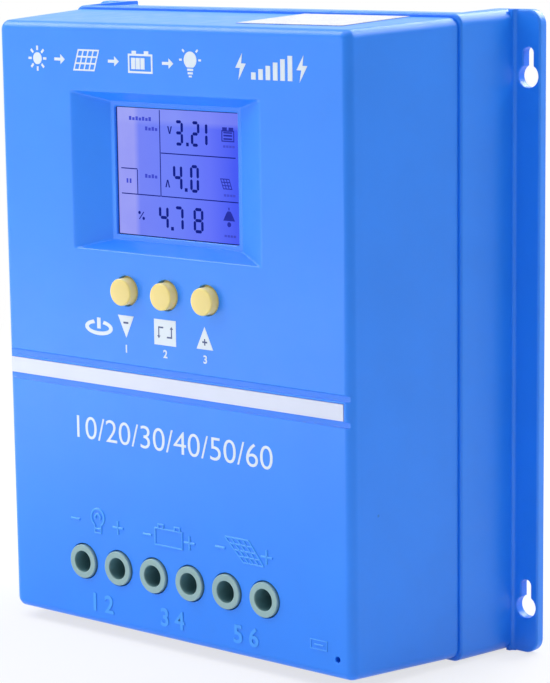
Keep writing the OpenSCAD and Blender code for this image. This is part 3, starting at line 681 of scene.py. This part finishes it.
def keyhole(x, z):
    """A cutter for a hanging hole through the flange, with softened lips."""
    lip = 0.45
    rings = [keyhole_ring(x, z, FLOOR_D - 1, lip + 0.6)]
    for a in quarter(4):
        rings.append(keyhole_ring(x, z, FLOOR_D + lip * (1 - math.cos(a)), lip * (1 - math.sin(a))))
    for a in quarter(4)[::-1]:
        rings.append(keyhole_ring(x, z, BACK_D - lip * (1 - math.cos(a)), lip * (1 - math.sin(a))))
    rings.append(keyhole_ring(x, z, BACK_D + 1, lip + 0.6))
    return loft("keyhole", rings)


def flange_fillet(side, r=1.2):
    """The concave blend between a side wall and its flange, over the whole height."""
    wall = BACK_W / 2 - 0.02
    section = [(wall - 1.5, FLOOR_D + 0.8), (wall - 1.5, FLOOR_D - r)]
    section += [(wall + r - 0.1 + u, FLOOR_D - r + v) for u, v in arc(0, 0, r, 180, 90, 8)]
    section += [(wall + r - 0.1, FLOOR_D + 0.8)]
    top = BACK_H / 2 - 0.03
    return loft("blend", [[(side * x, d, z) for x, d in section] for z in (-top, top)])


def plate_ring(inset, depth):
    return rect_ring(0, 0, PLATE_W - 2 * inset, BACK_H - 0.04 - 2 * inset, FLANGE_R - inset,
                     depth, 10)


def build_base():
    corner_r = CORNER_R + 0.6
    front_lip = 0.7
    rings = [body_ring(COVER_D + front_lip * (1 - math.cos(a)), front_lip * (1 - math.sin(a)),
                       corner_r, True) for a in quarter(6)]
    rings.append(body_ring((COVER_D + FLOOR_D) / 2, 0, corner_r, True))
    rings.append(body_ring(FLOOR_D, 0, corner_r, True))
    rings += [body_ring(BACK_D - BACK_EDGE_R * (1 - math.sin(a)), BACK_EDGE_R * (1 - math.cos(a)),
                        corner_r, True) for a in quarter(4)]
    base = loft("base_shell", rings)
    plate = [plate_ring(front_lip * (1 - math.sin(a)), FLOOR_D + front_lip * (1 - math.cos(a)))
             for a in quarter(6)]
    plate += [plate_ring(BACK_EDGE_R * (1 - math.sin(a)), BACK_D - BACK_EDGE_R * (1 - math.cos(a)))
              for a in quarter(4)[::-1]]
    join(base, loft("plate", plate), flange_fillet(1), flange_fillet(-1))
    cavity = loft("cavity", [
        rect_ring(0, 0, RIM_W - 2 * WALL, RIM_H - 2 * WALL, 1.1, COVER_D - 1, 6),
        rect_ring(0, 0, BACK_W - 2 * WALL, BACK_H - 2 * WALL, 1.1, FLOOR_D, 6)])
    for sx in (-1, 1):
        for sz in (-1, 1):
            cut(cavity, rod(sx * CASE_X, sz * CASE_Z, BASE_POST_R, COVER_D, FLOOR_D + 1))
        for z in BOARD_POST_ZS:
            cut(cavity, rod(sx * BOARD_POST_X, z, BOARD_POST_R, BOARD_Y, FLOOR_D + 1))
    cut(base, cavity)
    for sx in (-1, 1):
        for z in KEYHOLE_ZS:
            cut(base, keyhole(sx * KEYHOLE_X, z))
        for sz in (-1, 1):
            cut(base, counterbore(sx * CASE_X, sz * CASE_Z))
    cut(base, top_recess())
    return paint(finish_mesh(base), blue)


def counterbore(x, z):
    """A cutter for a case screw's hole in the back, deep enough to hide its head."""
    r, lip = SCREW_HEAD_R, 0.4
    head = BACK_D - SCREW_HEAD_D
    profile = [(SCREW_R, COVER_D - 1), (SCREW_R, head), (r, head)]
    profile += [(r + lip * (1 - math.cos(a)), BACK_D - lip + lip * math.sin(a)) for a in quarter(6)]
    profile.append((r + 1.4, BACK_D + 1))
    return lathe("counterbore", profile, x, z, 40)


def top_recess():
    """A cutter for the shallow step across the base's top wall."""
    w = BACK_W - 14.6
    d0, d1 = COVER_D + 1.5, BACK_D + 3
    z = BACK_H / 2
    rings = []
    for a in quarter(4):
        shrink = 0.5 * (1 - math.sin(a))
        rings.append(plan_ring(0, (d0 + d1) / 2, w - 2 * shrink, d1 - d0 - 2 * shrink, 1.5 - shrink,
                               z - 1.5 + 0.5 * (1 - math.cos(a))))
    rings.append(plan_ring(0, (d0 + d1) / 2, w, d1 - d0, 1.5, z + 1))
    return loft("recess", rings)


fasten(build_base(), "case", "blue_plastic", "rear_base")


# ---------------------------------------------------------------- stripe, buttons and towers

def build_stripe():
    middle, h = (BAND_TOP + BAND_LOW) / 2, BAND_TOP - BAND_LOW
    rings = [rect_ring(BAND_X, middle, BAND_W - 2 * inset, h - 2 * inset, 0.2, depth, 3)
             for inset, depth in ((0, POCKET_D), (0, 0.06), (0.04, -0.02), (0.14, -0.06))]
    return paint(finish_mesh(loft("stripe_band", rings)), stripe_white)


fasten(build_stripe(), "case", "white_ink", "front_stripe")


def build_button(i, name):
    """A cap with a barely crowned top and a rounded rim, off centre in its hole by its slack."""
    dx, dz = CAP_SLACK[name]
    top = -BUTTON_RISE
    profile = [(0, top), (1.2, top + 0.01), (2.4, top + 0.04), (3.1, top + 0.085)]
    profile += [(CAP_R - 0.5 + u, top + 0.62 + v) for u, v in arc(0, 0, 0.5, -83, 0, 10)]
    collar, collar_r, stem_r, stem_end = WALL + RUN_GAP, BUTTON_R + 1.5, 2, 7.6
    profile += [(CAP_R, collar), (BUTTON_R + 1.35, collar), (collar_r, collar + 0.15),
                (collar_r, collar + 1.05), (BUTTON_R + 1.35, collar + 1.2),
                (stem_r, collar + 1.2), (stem_r, stem_end), (0, stem_end)]
    cap = lathe(name + "_cap", profile, PANEL_X + (i - 1) * BUTTON_PITCH + dx, BUTTON_Z + dz, 64)
    return paint(finish_mesh(cap, 40), yellow)


for i, name in enumerate(("minus", "menu", "plus")):
    fasten(build_button(i, name), name + "_button", "yellow_plastic", name + "_button")


def build_housing(i):
    """The tower round a terminal screw, and the block behind it with its clamp's room."""
    x = terminal_x(i)
    top = -TOWER_RISE
    outer_lip = arc(TOWER_EDGE - 0.3, top + 0.3, 0.3, -90, 0, 6)
    inner_lip = arc(TOWER_MOUTH + 0.18, top + 0.18, 0.18, 180, 270, 5)
    foot = HOUSING_FRONT + 0.4
    tube = [(0.01, foot), (TOWER_R, foot), (TOWER_R, 3.4), (TOWER_EDGE, 3.0)]
    tube += outer_lip[::-1] + [(0.01, top)]
    solid = lathe(f"terminal_block_{i + 1}", tube, x, TERMINAL_Z, 64)
    low, high = HOUSING_LOW, HOUSING_HIGH
    block = loft("block", [
        rect_ring(x, (low + high) / 2, HOUSING_W - shrink, high - low - shrink, r, depth, 3)
        for shrink, r, depth in ((0.6, 0.3, HOUSING_FRONT), (0, 0.4, HOUSING_FRONT + 0.3),
                                 (0, 0.4, HOUSING_BACK - 0.3), (0.6, 0.3, HOUSING_BACK))])
    join(solid, block)
    bore = [(TOWER_MOUTH + 1.18, top - 1), (TOWER_MOUTH + 0.18, top)]
    bore += [(r, d) for r, d in inner_lip[::-1]][1:]
    seat, neck_r = 15.2, 2.8
    bore += [(TOWER_MOUTH, 2.5), (TOWER_BORE_R, 3.5), (TOWER_BORE_R, seat), (neck_r, seat),
             (neck_r, 17)]
    cut(solid, lathe("bore", bore, x, TERMINAL_Z, 64))
    cut(solid, box_tool(x - 5.2, x + 5.2, 16.5, CAVITY_BACK, low + 2, TERMINAL_Z + 8.8))
    cut(solid, box_tool(x - 4.5, x + 4.5, 27, CAVITY_BACK, low - 1, low + 3))
    cut(solid, box_tool(x - 3.3, x + 3.3, 26.5, 28.3, TERMINAL_Z + 7.8, high + 1))
    return paint(finish_mesh(solid), tower)


def box_tool(x0, x1, d0, d1, z0, z1):
    return loft("box", [[(x0, d, z0), (x1, d, z0), (x1, d, z1), (x0, d, z1)] for d in (d0, d1)])


for i in range(6):
    fasten(build_housing(i), "case", "grey_green_plastic", f"terminal_housing_{i + 1}")


# ---------------------------------------------------------------- flat shapes on the face

def flat(name, loops, depth, thick, mat):
    """A thin solid with the outline of loops, holes included, whose front lies at depth."""
    curve = bpy.data.curves.new(name, "CURVE")
    curve.dimensions = "2D"
    curve.fill_mode = "BOTH"
    curve.extrude = thick * MM / 2
    for loop in loops:
        spline = curve.splines.new("POLY")
        spline.points.add(len(loop) - 1)
        for point, (u, v) in zip(spline.points, loop):
            point.co = (u * MM, v * MM, 0, 1)
        spline.use_cyclic_u = True
    return stand_up(name, curve, depth + thick / 2, mat)


def stand_up(name, curve, depth, mat, x=0.0, z=0.0):
    """Turns a curve or text lying in its own plane into a mesh that faces the front."""
    temp = bpy.data.objects.new(name + "_curve", curve)
    scene.collection.objects.link(temp)
    bpy.context.view_layer.update()
    graph = bpy.context.evaluated_depsgraph_get()
    mesh = bpy.data.meshes.new_from_object(temp.evaluated_get(graph))
    mesh.transform(Matrix.Translation(place(x, depth, z)) @ Matrix.Rotation(math.pi / 2, 4, "X"))
    bpy.data.objects.remove(temp)
    bpy.data.curves.remove(curve)
    mesh.name = name
    obj = bpy.data.objects.new(name, mesh)
    scene.collection.objects.link(obj)
    work = bmesh.new()
    work.from_mesh(mesh)
    bmesh.ops.remove_doubles(work, verts=work.verts, dist=1e-6)
    bmesh.ops.recalc_face_normals(work, faces=work.faces)
    work.to_mesh(mesh)
    work.free()
    return paint(obj, mat)


def bar(x0, z0, x1, z1, w):
    """A straight stroke as a loop."""
    dx, dz = x1 - x0, z1 - z0
    n = math.hypot(dx, dz)
    px, pz = -dz / n * w / 2, dx / n * w / 2
    return [(x0 + px, z0 + pz), (x0 - px, z0 - pz), (x1 - px, z1 - pz), (x1 + px, z1 + pz)]


def rect(x0, z0, x1, z1):
    return [(x0, z0), (x1, z0), (x1, z1), (x0, z1)]


def circle(x, z, r, n=32):
    return [(x + r * math.cos(2 * math.pi * i / n), z + r * math.sin(2 * math.pi * i / n))
            for i in range(n)]


def shift(loops, x, z):
    return [[(u + x, v + z) for u, v in loop] for loop in loops]


def tag(obj, slot):
    return fasten(obj, "case", slot)


def print_on(name, loops, signs=()):
    """White ink on the face, with signs left out of it and filled in dark ink."""
    tag(flat(name, loops + list(signs), INK_D, INK_T, ink), "white_ink")
    if signs:
        tag(flat(name + "_sign", list(signs), INK_D + 0.01, INK_T, dark_ink), "white_ink")


def power_mark():
    """The switch symbol, flattened to a lying oval as on the case."""
    start, end, steps = 112, 428, 40
    outer_arc = [(5.9 * math.cos(math.radians(a)), 2.45 * math.sin(math.radians(a)))
                 for a in [start + (end - start) * i / steps for i in range(steps + 1)]]
    inner_arc = [(4.35 * math.cos(math.radians(a)), 1.25 * math.sin(math.radians(a)))
                 for a in [end - (end - start) * i / steps for i in range(steps + 1)]]
    return [outer_arc + inner_arc, rect(-0.75, -0.35, 0.75, 3.1)]


print_on("power_mark", shift(power_mark(), -29.4, 1.0))
print_on("down_mark", [[(-21.15, 5.8), (-17.8, -1.1), (-14.5, 5.8)]],
         [rect(-18.9, 3.25, -16.8, 3.85)])


def ray(z, start, end, angle, w):
    """A short stroke pointing away from the point 0, z."""
    u, v = math.cos(math.radians(angle)), math.sin(math.radians(angle))
    return bar(start * u, z + start * v, end * u, z + end * v, w)


def sun():
    return [circle(0, 0, 1.85)] + [ray(0, 2.5, 3.9, 45 * i, 0.75) for i in range(8)]


def arrow():
    return [[(-2.2, -0.45), (0.4, -0.45), (0.4, -1.5), (2.3, 0), (0.4, 1.5), (0.4, 0.45),
             (-2.2, 0.45)]]


def panel_loops(w, h, lean, cols, rows, line):
    """A leaning solar panel: its outline, with a hole for each cell."""
    def point(u, v):
        return (u * w - w / 2 + lean * (v - 0.5), v * h - h / 2)

    loops = [[point(0, 0), point(1, 0), point(1, 1), point(0, 1)]]
    a, b = line / w, line / h
    for i in range(cols):
        for j in range(rows):
            u0, u1 = a + i * (1 - a) / cols, (i + 1) * (1 - a) / cols
            v0, v1 = b + j * (1 - b) / rows, (j + 1) * (1 - b) / rows
            loops.append([point(u0, v0), point(u1, v0), point(u1, v1), point(u0, v1)])
    return loops


def battery(w, h, cells, line=0.6):
    """A battery with its two poles, and its bars of charge."""
    pole = 0.9
    body = [(-w / 2, -h / 2), (w / 2, -h / 2), (w / 2, h / 2)]
    for middle in (w / 4, -w / 4):
        body += [(middle + pole, h / 2), (middle + pole, h / 2 + pole),
                 (middle - pole, h / 2 + pole), (middle - pole, h / 2)]
    body.append((-w / 2, h / 2))
    loops = [body, rect(-w / 2 + line, -h / 2 + line, w / 2 - line, h / 2 - line)]
    step = (w - 4 * line) / 4
    for i in range(cells):
        x = -w / 2 + 2 * line + i * step
        loops.append(rect(x + 0.12, -h / 2 + 2 * line, x + step - 0.12, h / 2 - 2 * line))
    return loops


def lamp():
    """A bulb on its screw base, with short rays."""
    mid = 1.3
    low = mid + 2.5 * math.sin(math.radians(-62))
    bulb = arc(0, mid, 2.5, -62, 242, 36)
    rays = [ray(mid, 3.3, 4.3, angle, 0.6) for angle in (0, 45, 135, 180)]
    return [bulb, rect(-1.15, low - 1.0, 1.15, low - 0.35), rect(-1.0, low - 2.0, 1.0, low - 1.4),
            rect(-0.6, low - 2.9, 0.6, low - 2.4)] + rays


def bolt():
    return [[(0.6, 3.9), (-2.0, -0.4), (-0.25, -0.4), (-0.9, -3.9), (2.0, 0.9), (0.2, 0.9)]]


def rising_bars(n, w, pitch, h):
    return [rect(i * pitch, 0, i * pitch + w, h * (i + 2) / (n + 1)) for i in range(n)]


def hook(x, z, s):
    """A hooked arrow: a vertical stroke with a head and a bent tail."""
    pts = [(-0.24, 1.8), (-0.24, -1.0), (-0.7, -1.0), (0.0, -1.9), (0.7, -1.0), (0.24, -1.0),
           (0.24, 1.3), (1.9, 1.3), (1.9, 1.8)]
    return [(x + s * u, z + s * v) for u, v in pts]


print_on("menu_mark", [rect(-6.1, -1.9, 2.8, 6.0)], [hook(-4.2, 2.0, 1), hook(1.0, 2.2, -1)])


def plus_loop(x, z, r, w):
    return [(x - w, z - r), (x + w, z - r), (x + w, z - w), (x + r, z - w),
            (x + r, z + w), (x + w, z + w), (x + w, z + r), (x - w, z + r),
            (x - w, z + w), (x - r, z + w), (x - r, z - w), (x - w, z - w)]


print_on("up_mark", [[(11.1, -1.5), (17.7, -1.5), (14.4, 5.4)]], [plus_loop(14.4, 0.7, 1.0, 0.26)])


def number(name, text, size, x, z, depth, thick, mat, slot, offset=0.0, width=None):
    """Plain numbers in the built-in font, drawn in or out to width when one is given."""
    curve = bpy.data.curves.new(name, "FONT")
    curve.body = text
    curve.size = size * MM
    curve.extrude = thick * MM / 2
    curve.offset = offset * MM
    curve.align_x = "CENTER"
    curve.align_y = "CENTER"
    obj = stand_up(name, curve, depth + thick / 2, mat, x, z)
    if width:
        xs = [v.co.x for v in obj.data.vertices]
        stretch = Matrix.Diagonal((width * MM / (max(xs) - min(xs)), 1, 1, 1))
        obj.data.transform(Matrix.Translation((x * MM, 0, 0)) @ stretch
                           @ Matrix.Translation((-x * MM, 0, 0)))
    return tag(obj, slot)


for i, x in enumerate((-17.9, -1.7, 14.5)):
    number(f"button_number_{i + 1}", str(i + 1), 3.4, x, -4.7, INK_D, INK_T, ink, "white_ink", 0.08)

title = shift(sun(), -53, TITLE_Z) + shift(arrow(), -43.4, TITLE_Z)
title += shift(panel_loops(9, 6.6, 2.2, 4, 3, 0.5), -32, TITLE_Z) + shift(arrow(), -20.6, TITLE_Z)
title += shift(battery(10, 5.8, 3), -9.5, TITLE_Z - 0.4) + shift(arrow(), 1.6, TITLE_Z)
title += shift(lamp(), 10.6, TITLE_Z)
print_on("title_marks", title)
levels = shift(rising_bars(6, 1.7, 2.75, 7.2), 34.2, TITLE_Z - 3.6)
print_on("tracking_marks", shift(bolt(), 30.2, TITLE_Z) + levels + shift(bolt(), 53.2, TITLE_Z))

number("scale_row", "10/20/30/40/50/60", 10.4, -0.8, -32.0, INK_D, INK_T, ink, "white_ink",
       -0.06, 80.4)


# ---------------------------------------------------------------- raised marks in the body's blue, painted lighter as a highlight

def ridge(name, strokes, radius=0.42, rise=0.34):
    """Raised lines moulded on the face, from strokes of points, in the blue with the painted
    highlight.
    """
    curve = bpy.data.curves.new(name, "CURVE")
    curve.dimensions = "3D"
    curve.bevel_depth = radius * MM
    curve.bevel_resolution = 3
    curve.use_fill_caps = True
    for points, closed in strokes:
        spline = curve.splines.new("POLY")
        spline.points.add(len(points) - 1)
        for point, (u, v) in zip(spline.points, points):
            point.co = (u * MM, v * MM, 0, 1)
        spline.use_cyclic_u = closed
    obj = stand_up(name, curve, 0, raised)
    squeeze = Matrix.Diagonal((1, rise / radius, 1, 1))
    face_y = FRONT * MM
    obj.data.transform(Matrix.Translation((0, face_y, 0)) @ squeeze
                       @ Matrix.Translation((0, -face_y, 0)))
    obj.data.polygons.foreach_set("use_smooth", [True] * len(obj.data.polygons))
    obj.data.set_sharp_from_angle(angle=math.radians(45))
    return tag(obj, "blue_plastic")


def minus_stroke(x, z, w):
    return [([(x - w, z), (x + w, z)], False)]


def plus_stroke(x, z, w):
    return [([(x - w, z), (x + w, z)], False), ([(x, z - w), (x, z + w)], False)]


lamp_strokes = [(arc(-31.95, -60.1, 2.75, -60, 240, 28), False),
                (arc(-31.95, -60.1, 1.15, -30, 210, 14), False),
                ([(-33.25, -62.5), (-33.25, -65.1), (-30.6, -65.1), (-30.6, -62.5)], False),
                ([(-33.25, -63.8), (-30.6, -63.8)], False)]
ridge("load_ridge", minus_stroke(-41.75, -61.8, 1.9) + lamp_strokes
      + plus_stroke(-23.3, -62.2, 2.2))
battery_strokes = [([(-7.4, -59.7), (3.8, -59.7), (3.8, -65.0), (-7.4, -65.0)], True),
                   ([(-6.1, -59.7), (-6.1, -58.4), (-4.0, -58.4), (-4.0, -59.7)], False),
                   ([(0.7, -59.7), (0.7, -58.4), (2.8, -58.4), (2.8, -59.7)], False)]
ridge("battery_ridge", minus_stroke(-10.8, -62.4, 1.8) + battery_strokes
      + plus_stroke(6.75, -62.5, 2.2))
grid = []
for i in range(5):
    t = i / 4
    grid.append(([(21.2 + 9.4 * t, -58.1), (28.6 + 7.8 * t, -65.2)], False))
    grid.append(([(21.2 + 7.4 * t, -58.1 - 7.1 * t), (30.6 + 5.8 * t, -58.1 - 7.1 * t)], False))
ridge("panel_ridge", grid, 0.3, 0.3)
ridge("panel_sign_ridge", minus_stroke(19.2, -61.8, 1.9) + plus_stroke(37.6, -62.1, 2.2))
for i, x in enumerate((-31.0, -1.0, 29.0)):
    number(f"terminal_pair_{i + 1}", f"{2 * i + 1} {2 * i + 2}", 8.0, x, -88.2, -0.28, 1.0,
           raised, "blue_plastic", 0.14)
outlet = [([(54.2, -84.2), (60.4, -84.2), (60.4, -87.0), (54.2, -87.0)], True),
          ([(55.6, -85.6), (59.0, -85.6)], False)]
ridge("outlet_ridge", outlet, 0.26, 0.25)


# ---------------------------------------------------------------- display

SEGMENTS = {"0": "abcdef", "1": "bc", "2": "abged", "3": "abgcd", "4": "fgbc", "7": "abc",
            "8": "abcdefg"}


def digit(text, x0, z0, x1, z1, w=0.95):
    """The lit segments of a digit, as six-sided bars."""
    zm, gap = (z0 + z1) / 2, 0.16
    ends = {"a": (x0, z1, x1, z1), "g": (x0, zm, x1, zm), "d": (x0, z0, x1, z0),
            "f": (x0, zm, x0, z1), "e": (x0, z0, x0, zm), "b": (x1, zm, x1, z1),
            "c": (x1, z0, x1, zm)}
    loops = []
    for key in SEGMENTS[text]:
        ax, az, bx, bz = ends[key]
        h = w / 2
        if az == bz:
            near, far = ax + h + gap / 2, bx - h - gap / 2
            loops.append([(ax + gap, az), (near, az - h), (far, az - h), (bx - gap, az),
                          (far, az + h), (near, az + h)])
        else:
            near, far = az + h + gap / 2, bz - h - gap / 2
            loops.append([(ax, az + gap), (ax + h, near), (ax + h, far), (ax, bz - gap),
                          (ax - h, far), (ax - h, near)])
    return loops


def lcd(name, loops, mat=segment_dark):
    return tag(flat(name, loops, GLASS_D - 0.04, 0.06, mat), "lcd_glass")


readings = digit("3", -1.5, 59.0, 1.0, 65.7) + [rect(2.7, 58.5, 3.7, 59.6)]
readings += digit("2", 5.1, 59.0, 7.6, 65.7) + digit("1", 8.3, 59.0, 10.8, 65.7)
readings += digit("4", -2.4, 45.1, 0.4, 52.5) + [rect(1.8, 44.7, 2.9, 45.8)]
readings += digit("0", 4.5, 45.1, 7.1, 52.5)
readings += digit("4", -8.5, 32.9, -5.5, 39.6) + [rect(-4.1, 32.5, -3.0, 33.6)]
readings += digit("7", -2.2, 32.9, 0.6, 39.6) + digit("8", 5.6, 32.9, 8.6, 39.6)
lcd("lcd_readings", readings)

lines = [bar(*ends, 0.32) for ends in (
    (-8.0, 42.7, -8.0, 68.9), (-7.7, 55.9, 22.2, 55.9), (-24.3, 42.7, -8.2, 42.7),
    (-7.8, 42.7, 23.0, 42.7), (-24.3, 50.5, -17.6, 50.5), (-17.6, 50.3, -17.6, 42.9))]
lcd("lcd_lines", lines)


def wedge(x, z, tip):
    """A V, or with a negative tip the same mark upside down."""
    return [(x - 0.95, z), (x - 0.45, z), (x, z - 1.8 * tip), (x + 0.45, z), (x + 0.95, z),
            (x + 0.25, z - 2.3 * tip), (x - 0.25, z - 2.3 * tip)]


units = [wedge(-3.95, 64.2, 1), wedge(-5.15, 45.6, -1)]
units += [circle(-17.1, 37.1, 0.5, 16), circle(-15.4, 35.4, 0.5, 16),
          bar(-17.2, 35.1, -15.3, 37.4, 0.3)]
lcd("lcd_units", units)

icons = shift(battery(5.0, 3.4, 0, 0.35), 19.3, 62.3)
icons += [rect(17.6, 61.2, 21.0, 61.7), rect(17.6, 62.2, 21.0, 62.7), rect(17.6, 63.1, 21.0, 63.5)]
icons += shift(panel_loops(3.6, 3.2, -1.2, 3, 3, 0.28), 18.4, 48.0)
icons += [[(17.0, 37.0), (21.6, 37.0), (20.4, 39.2), (19.8, 39.9), (18.8, 39.9), (18.2, 39.2)],
          rect(19.1, 40.2, 19.5, 41.0)]
icons += [circle(19.3, 35.9, 0.75, 20)]
lcd("lcd_icons", icons, segment_mid)

faint = []
for z, n, x in ((66.0, 7, -20.6), (63.1, 4, -14.0), (48.6, 4, -14.4)):
    for i in range(n):
        faint.append(rect(x + 1.35 * i, z - 0.6, x + 1.35 * i + 0.95, z + 0.6 - 0.3 * (i % 2)))
for z in (59.2, 44.6, 32.4):
    faint += [rect(17.4 + 1.2 * i, z - 0.35, 18.3 + 1.2 * i, z + 0.35) for i in range(4)]
faint += [rect(-22.2, 46.0, -21.5, 47.4), rect(-20.9, 46.0, -20.2, 47.4)]
lcd("lcd_faint", faint, segment_faint)

# A dark strip behind the window's lip, standing in for the shade in the gap round the glass:
# painted shade.
shade_line_loops = [rect(PANEL_X - w / 2, DISPLAY_Z - h / 2, PANEL_X + w / 2, DISPLAY_Z + h / 2)
                for w, h in ((52, 42), (49.1, 39))]
tag(flat("display_window_shade", shade_line_loops, RECESS_D + LIP + 0.01, 0.08, window_edge_shade), "black_plastic")


# ---------------------------------------------------------------- camera, lights and floor

camera_data = bpy.data.cameras.new("camera")
camera = bpy.data.objects.new("camera", camera_data)
scene.collection.objects.link(camera)
camera.location = (0.511588, -0.629725, 0.133319)
camera.rotation_euler = [math.radians(angle) for angle in (79.9723, 0.7334, 39.8054)]
camera_data.lens = 133.6
camera_data.sensor_width = 36
camera_data.shift_x = -0.0013
camera_data.shift_y = 0.0116
camera_data.clip_start = 0.02
scene.camera = camera
scene.view_settings.view_transform = "Standard"


def area_light(name, location, target, size, power, size_y=None):
    """A rectangular lamp at location, in metres, that faces target."""
    data = bpy.data.lights.new(name, "AREA")
    data.shape = "RECTANGLE"
    data.size = size
    data.size_y = size_y or size
    data.energy = power
    light = bpy.data.objects.new(name, data)
    light.location = location
    aim = Vector(target) - Vector(location)
    light.rotation_euler = aim.to_track_quat("-Z", "Y").to_euler()
    scene.collection.objects.link(light)


area_light("key", (-0.50, -0.66, 0.12), (0, -0.04, 0), 0.75, 1.1, 0.42)
area_light("key_low", (-0.19, -0.29, -0.058), (0, -0.06, -0.05), 0.42, 0.18, 0.075)
area_light("top", (0.0, 0.05, 1.25), (0, -0.03, 0), 0.8, 3.3)
area_light("left", (-0.70, -0.30, 0.75), (0, -0.04, 0), 0.6, 6.7)
area_light("front_top", (-0.10, -0.45, 1.15), (0, -0.04, 0), 0.8, 2.6)
area_light("back", (0.12, 0.95, 0.80), (0.05, 0.05, -0.02), 0.9, 12.2, 0.6)
area_light("back_right", (0.75, 0.65, 0.80), (0.15, 0.05, -0.08), 0.6, 4.2)


def seen_factor(tree):
    """1 for the rays that show the background: from the camera, off gloss and through glass."""
    path = tree.nodes.new("ShaderNodeLightPath")
    total = path.outputs["Is Camera Ray"]
    for name in ("Is Glossy Ray", "Is Transmission Ray"):
        most = tree.nodes.new("ShaderNodeMath")
        most.operation = "MAXIMUM"
        tree.links.new(total, most.inputs[0])
        tree.links.new(path.outputs[name], most.inputs[1])
        total = most.outputs[0]
    return total


world = bpy.data.worlds.new("studio")
scene.world = world
world.use_nodes = True
tree = world.node_tree
tree.nodes.clear()
out = tree.nodes.new("ShaderNodeOutputWorld")
sky = tree.nodes.new("ShaderNodeBackground")
sky.inputs[0].default_value = (1, 1, 1, 1)
level = tree.nodes.new("ShaderNodeMapRange")
level.inputs["To Min"].default_value = WORLD_LIGHT
level.inputs["To Max"].default_value = WORLD_SEEN
tree.links.new(seen_factor(tree), level.inputs["Value"])
tree.links.new(level.outputs["Result"], sky.inputs["Strength"])
tree.links.new(sky.outputs[0], out.inputs[0])

FLOOR_HALF, FLOOR_GAP = 9, 0.0002
floor_mesh = bpy.data.meshes.new("floor")
floor_z = cad_box[0][2] - FLOOR_GAP
floor_mesh.from_pydata([(sx * FLOOR_HALF, sy * FLOOR_HALF, floor_z)
                        for sx, sy in ((-1, -1), (1, -1), (1, 1), (-1, 1))], [], [(0, 1, 2, 3)])
floor = bpy.data.objects.new("floor", floor_mesh)
scene.collection.objects.link(floor)
floor_mat, floor_shader = new_material("floor")
floor_at = coords_of(floor_mat)
floor_tint = mix_color(floor_mat, noise(floor_mat, floor_at, 3, 2),
                       (0.84, 0.84, 0.845), (0.87, 0.87, 0.875))
link(floor_mat, floor_tint, floor_shader.inputs["Base Color"])
floor_shader.inputs["Roughness"].default_value = 0.9
floor_shader.inputs["Specular IOR Level"].default_value = 0.2
reach = add(floor_mat, "ShaderNodeVectorMath", operation="LENGTH")
link(floor_mat, floor_at, reach.inputs[0])
share = remap(floor_mat, reach.outputs["Value"], 0.2, 0.6, 0.72, 1.0)
white = add(floor_mat, "ShaderNodeEmission", Strength=FLOOR_SEEN)
blend = add(floor_mat, "ShaderNodeMixShader")
seen = seen_factor(floor_mat.node_tree)
link(floor_mat, math_node(floor_mat, "MULTIPLY", share, seen), blend.inputs[0])
link(floor_mat, floor_shader.outputs[0], blend.inputs[1])
link(floor_mat, white.outputs[0], blend.inputs[2])
link(floor_mat, blend.outputs[0], floor_mat.node_tree.nodes["Material Output"].inputs[0])
floor.data.materials.append(floor_mat)
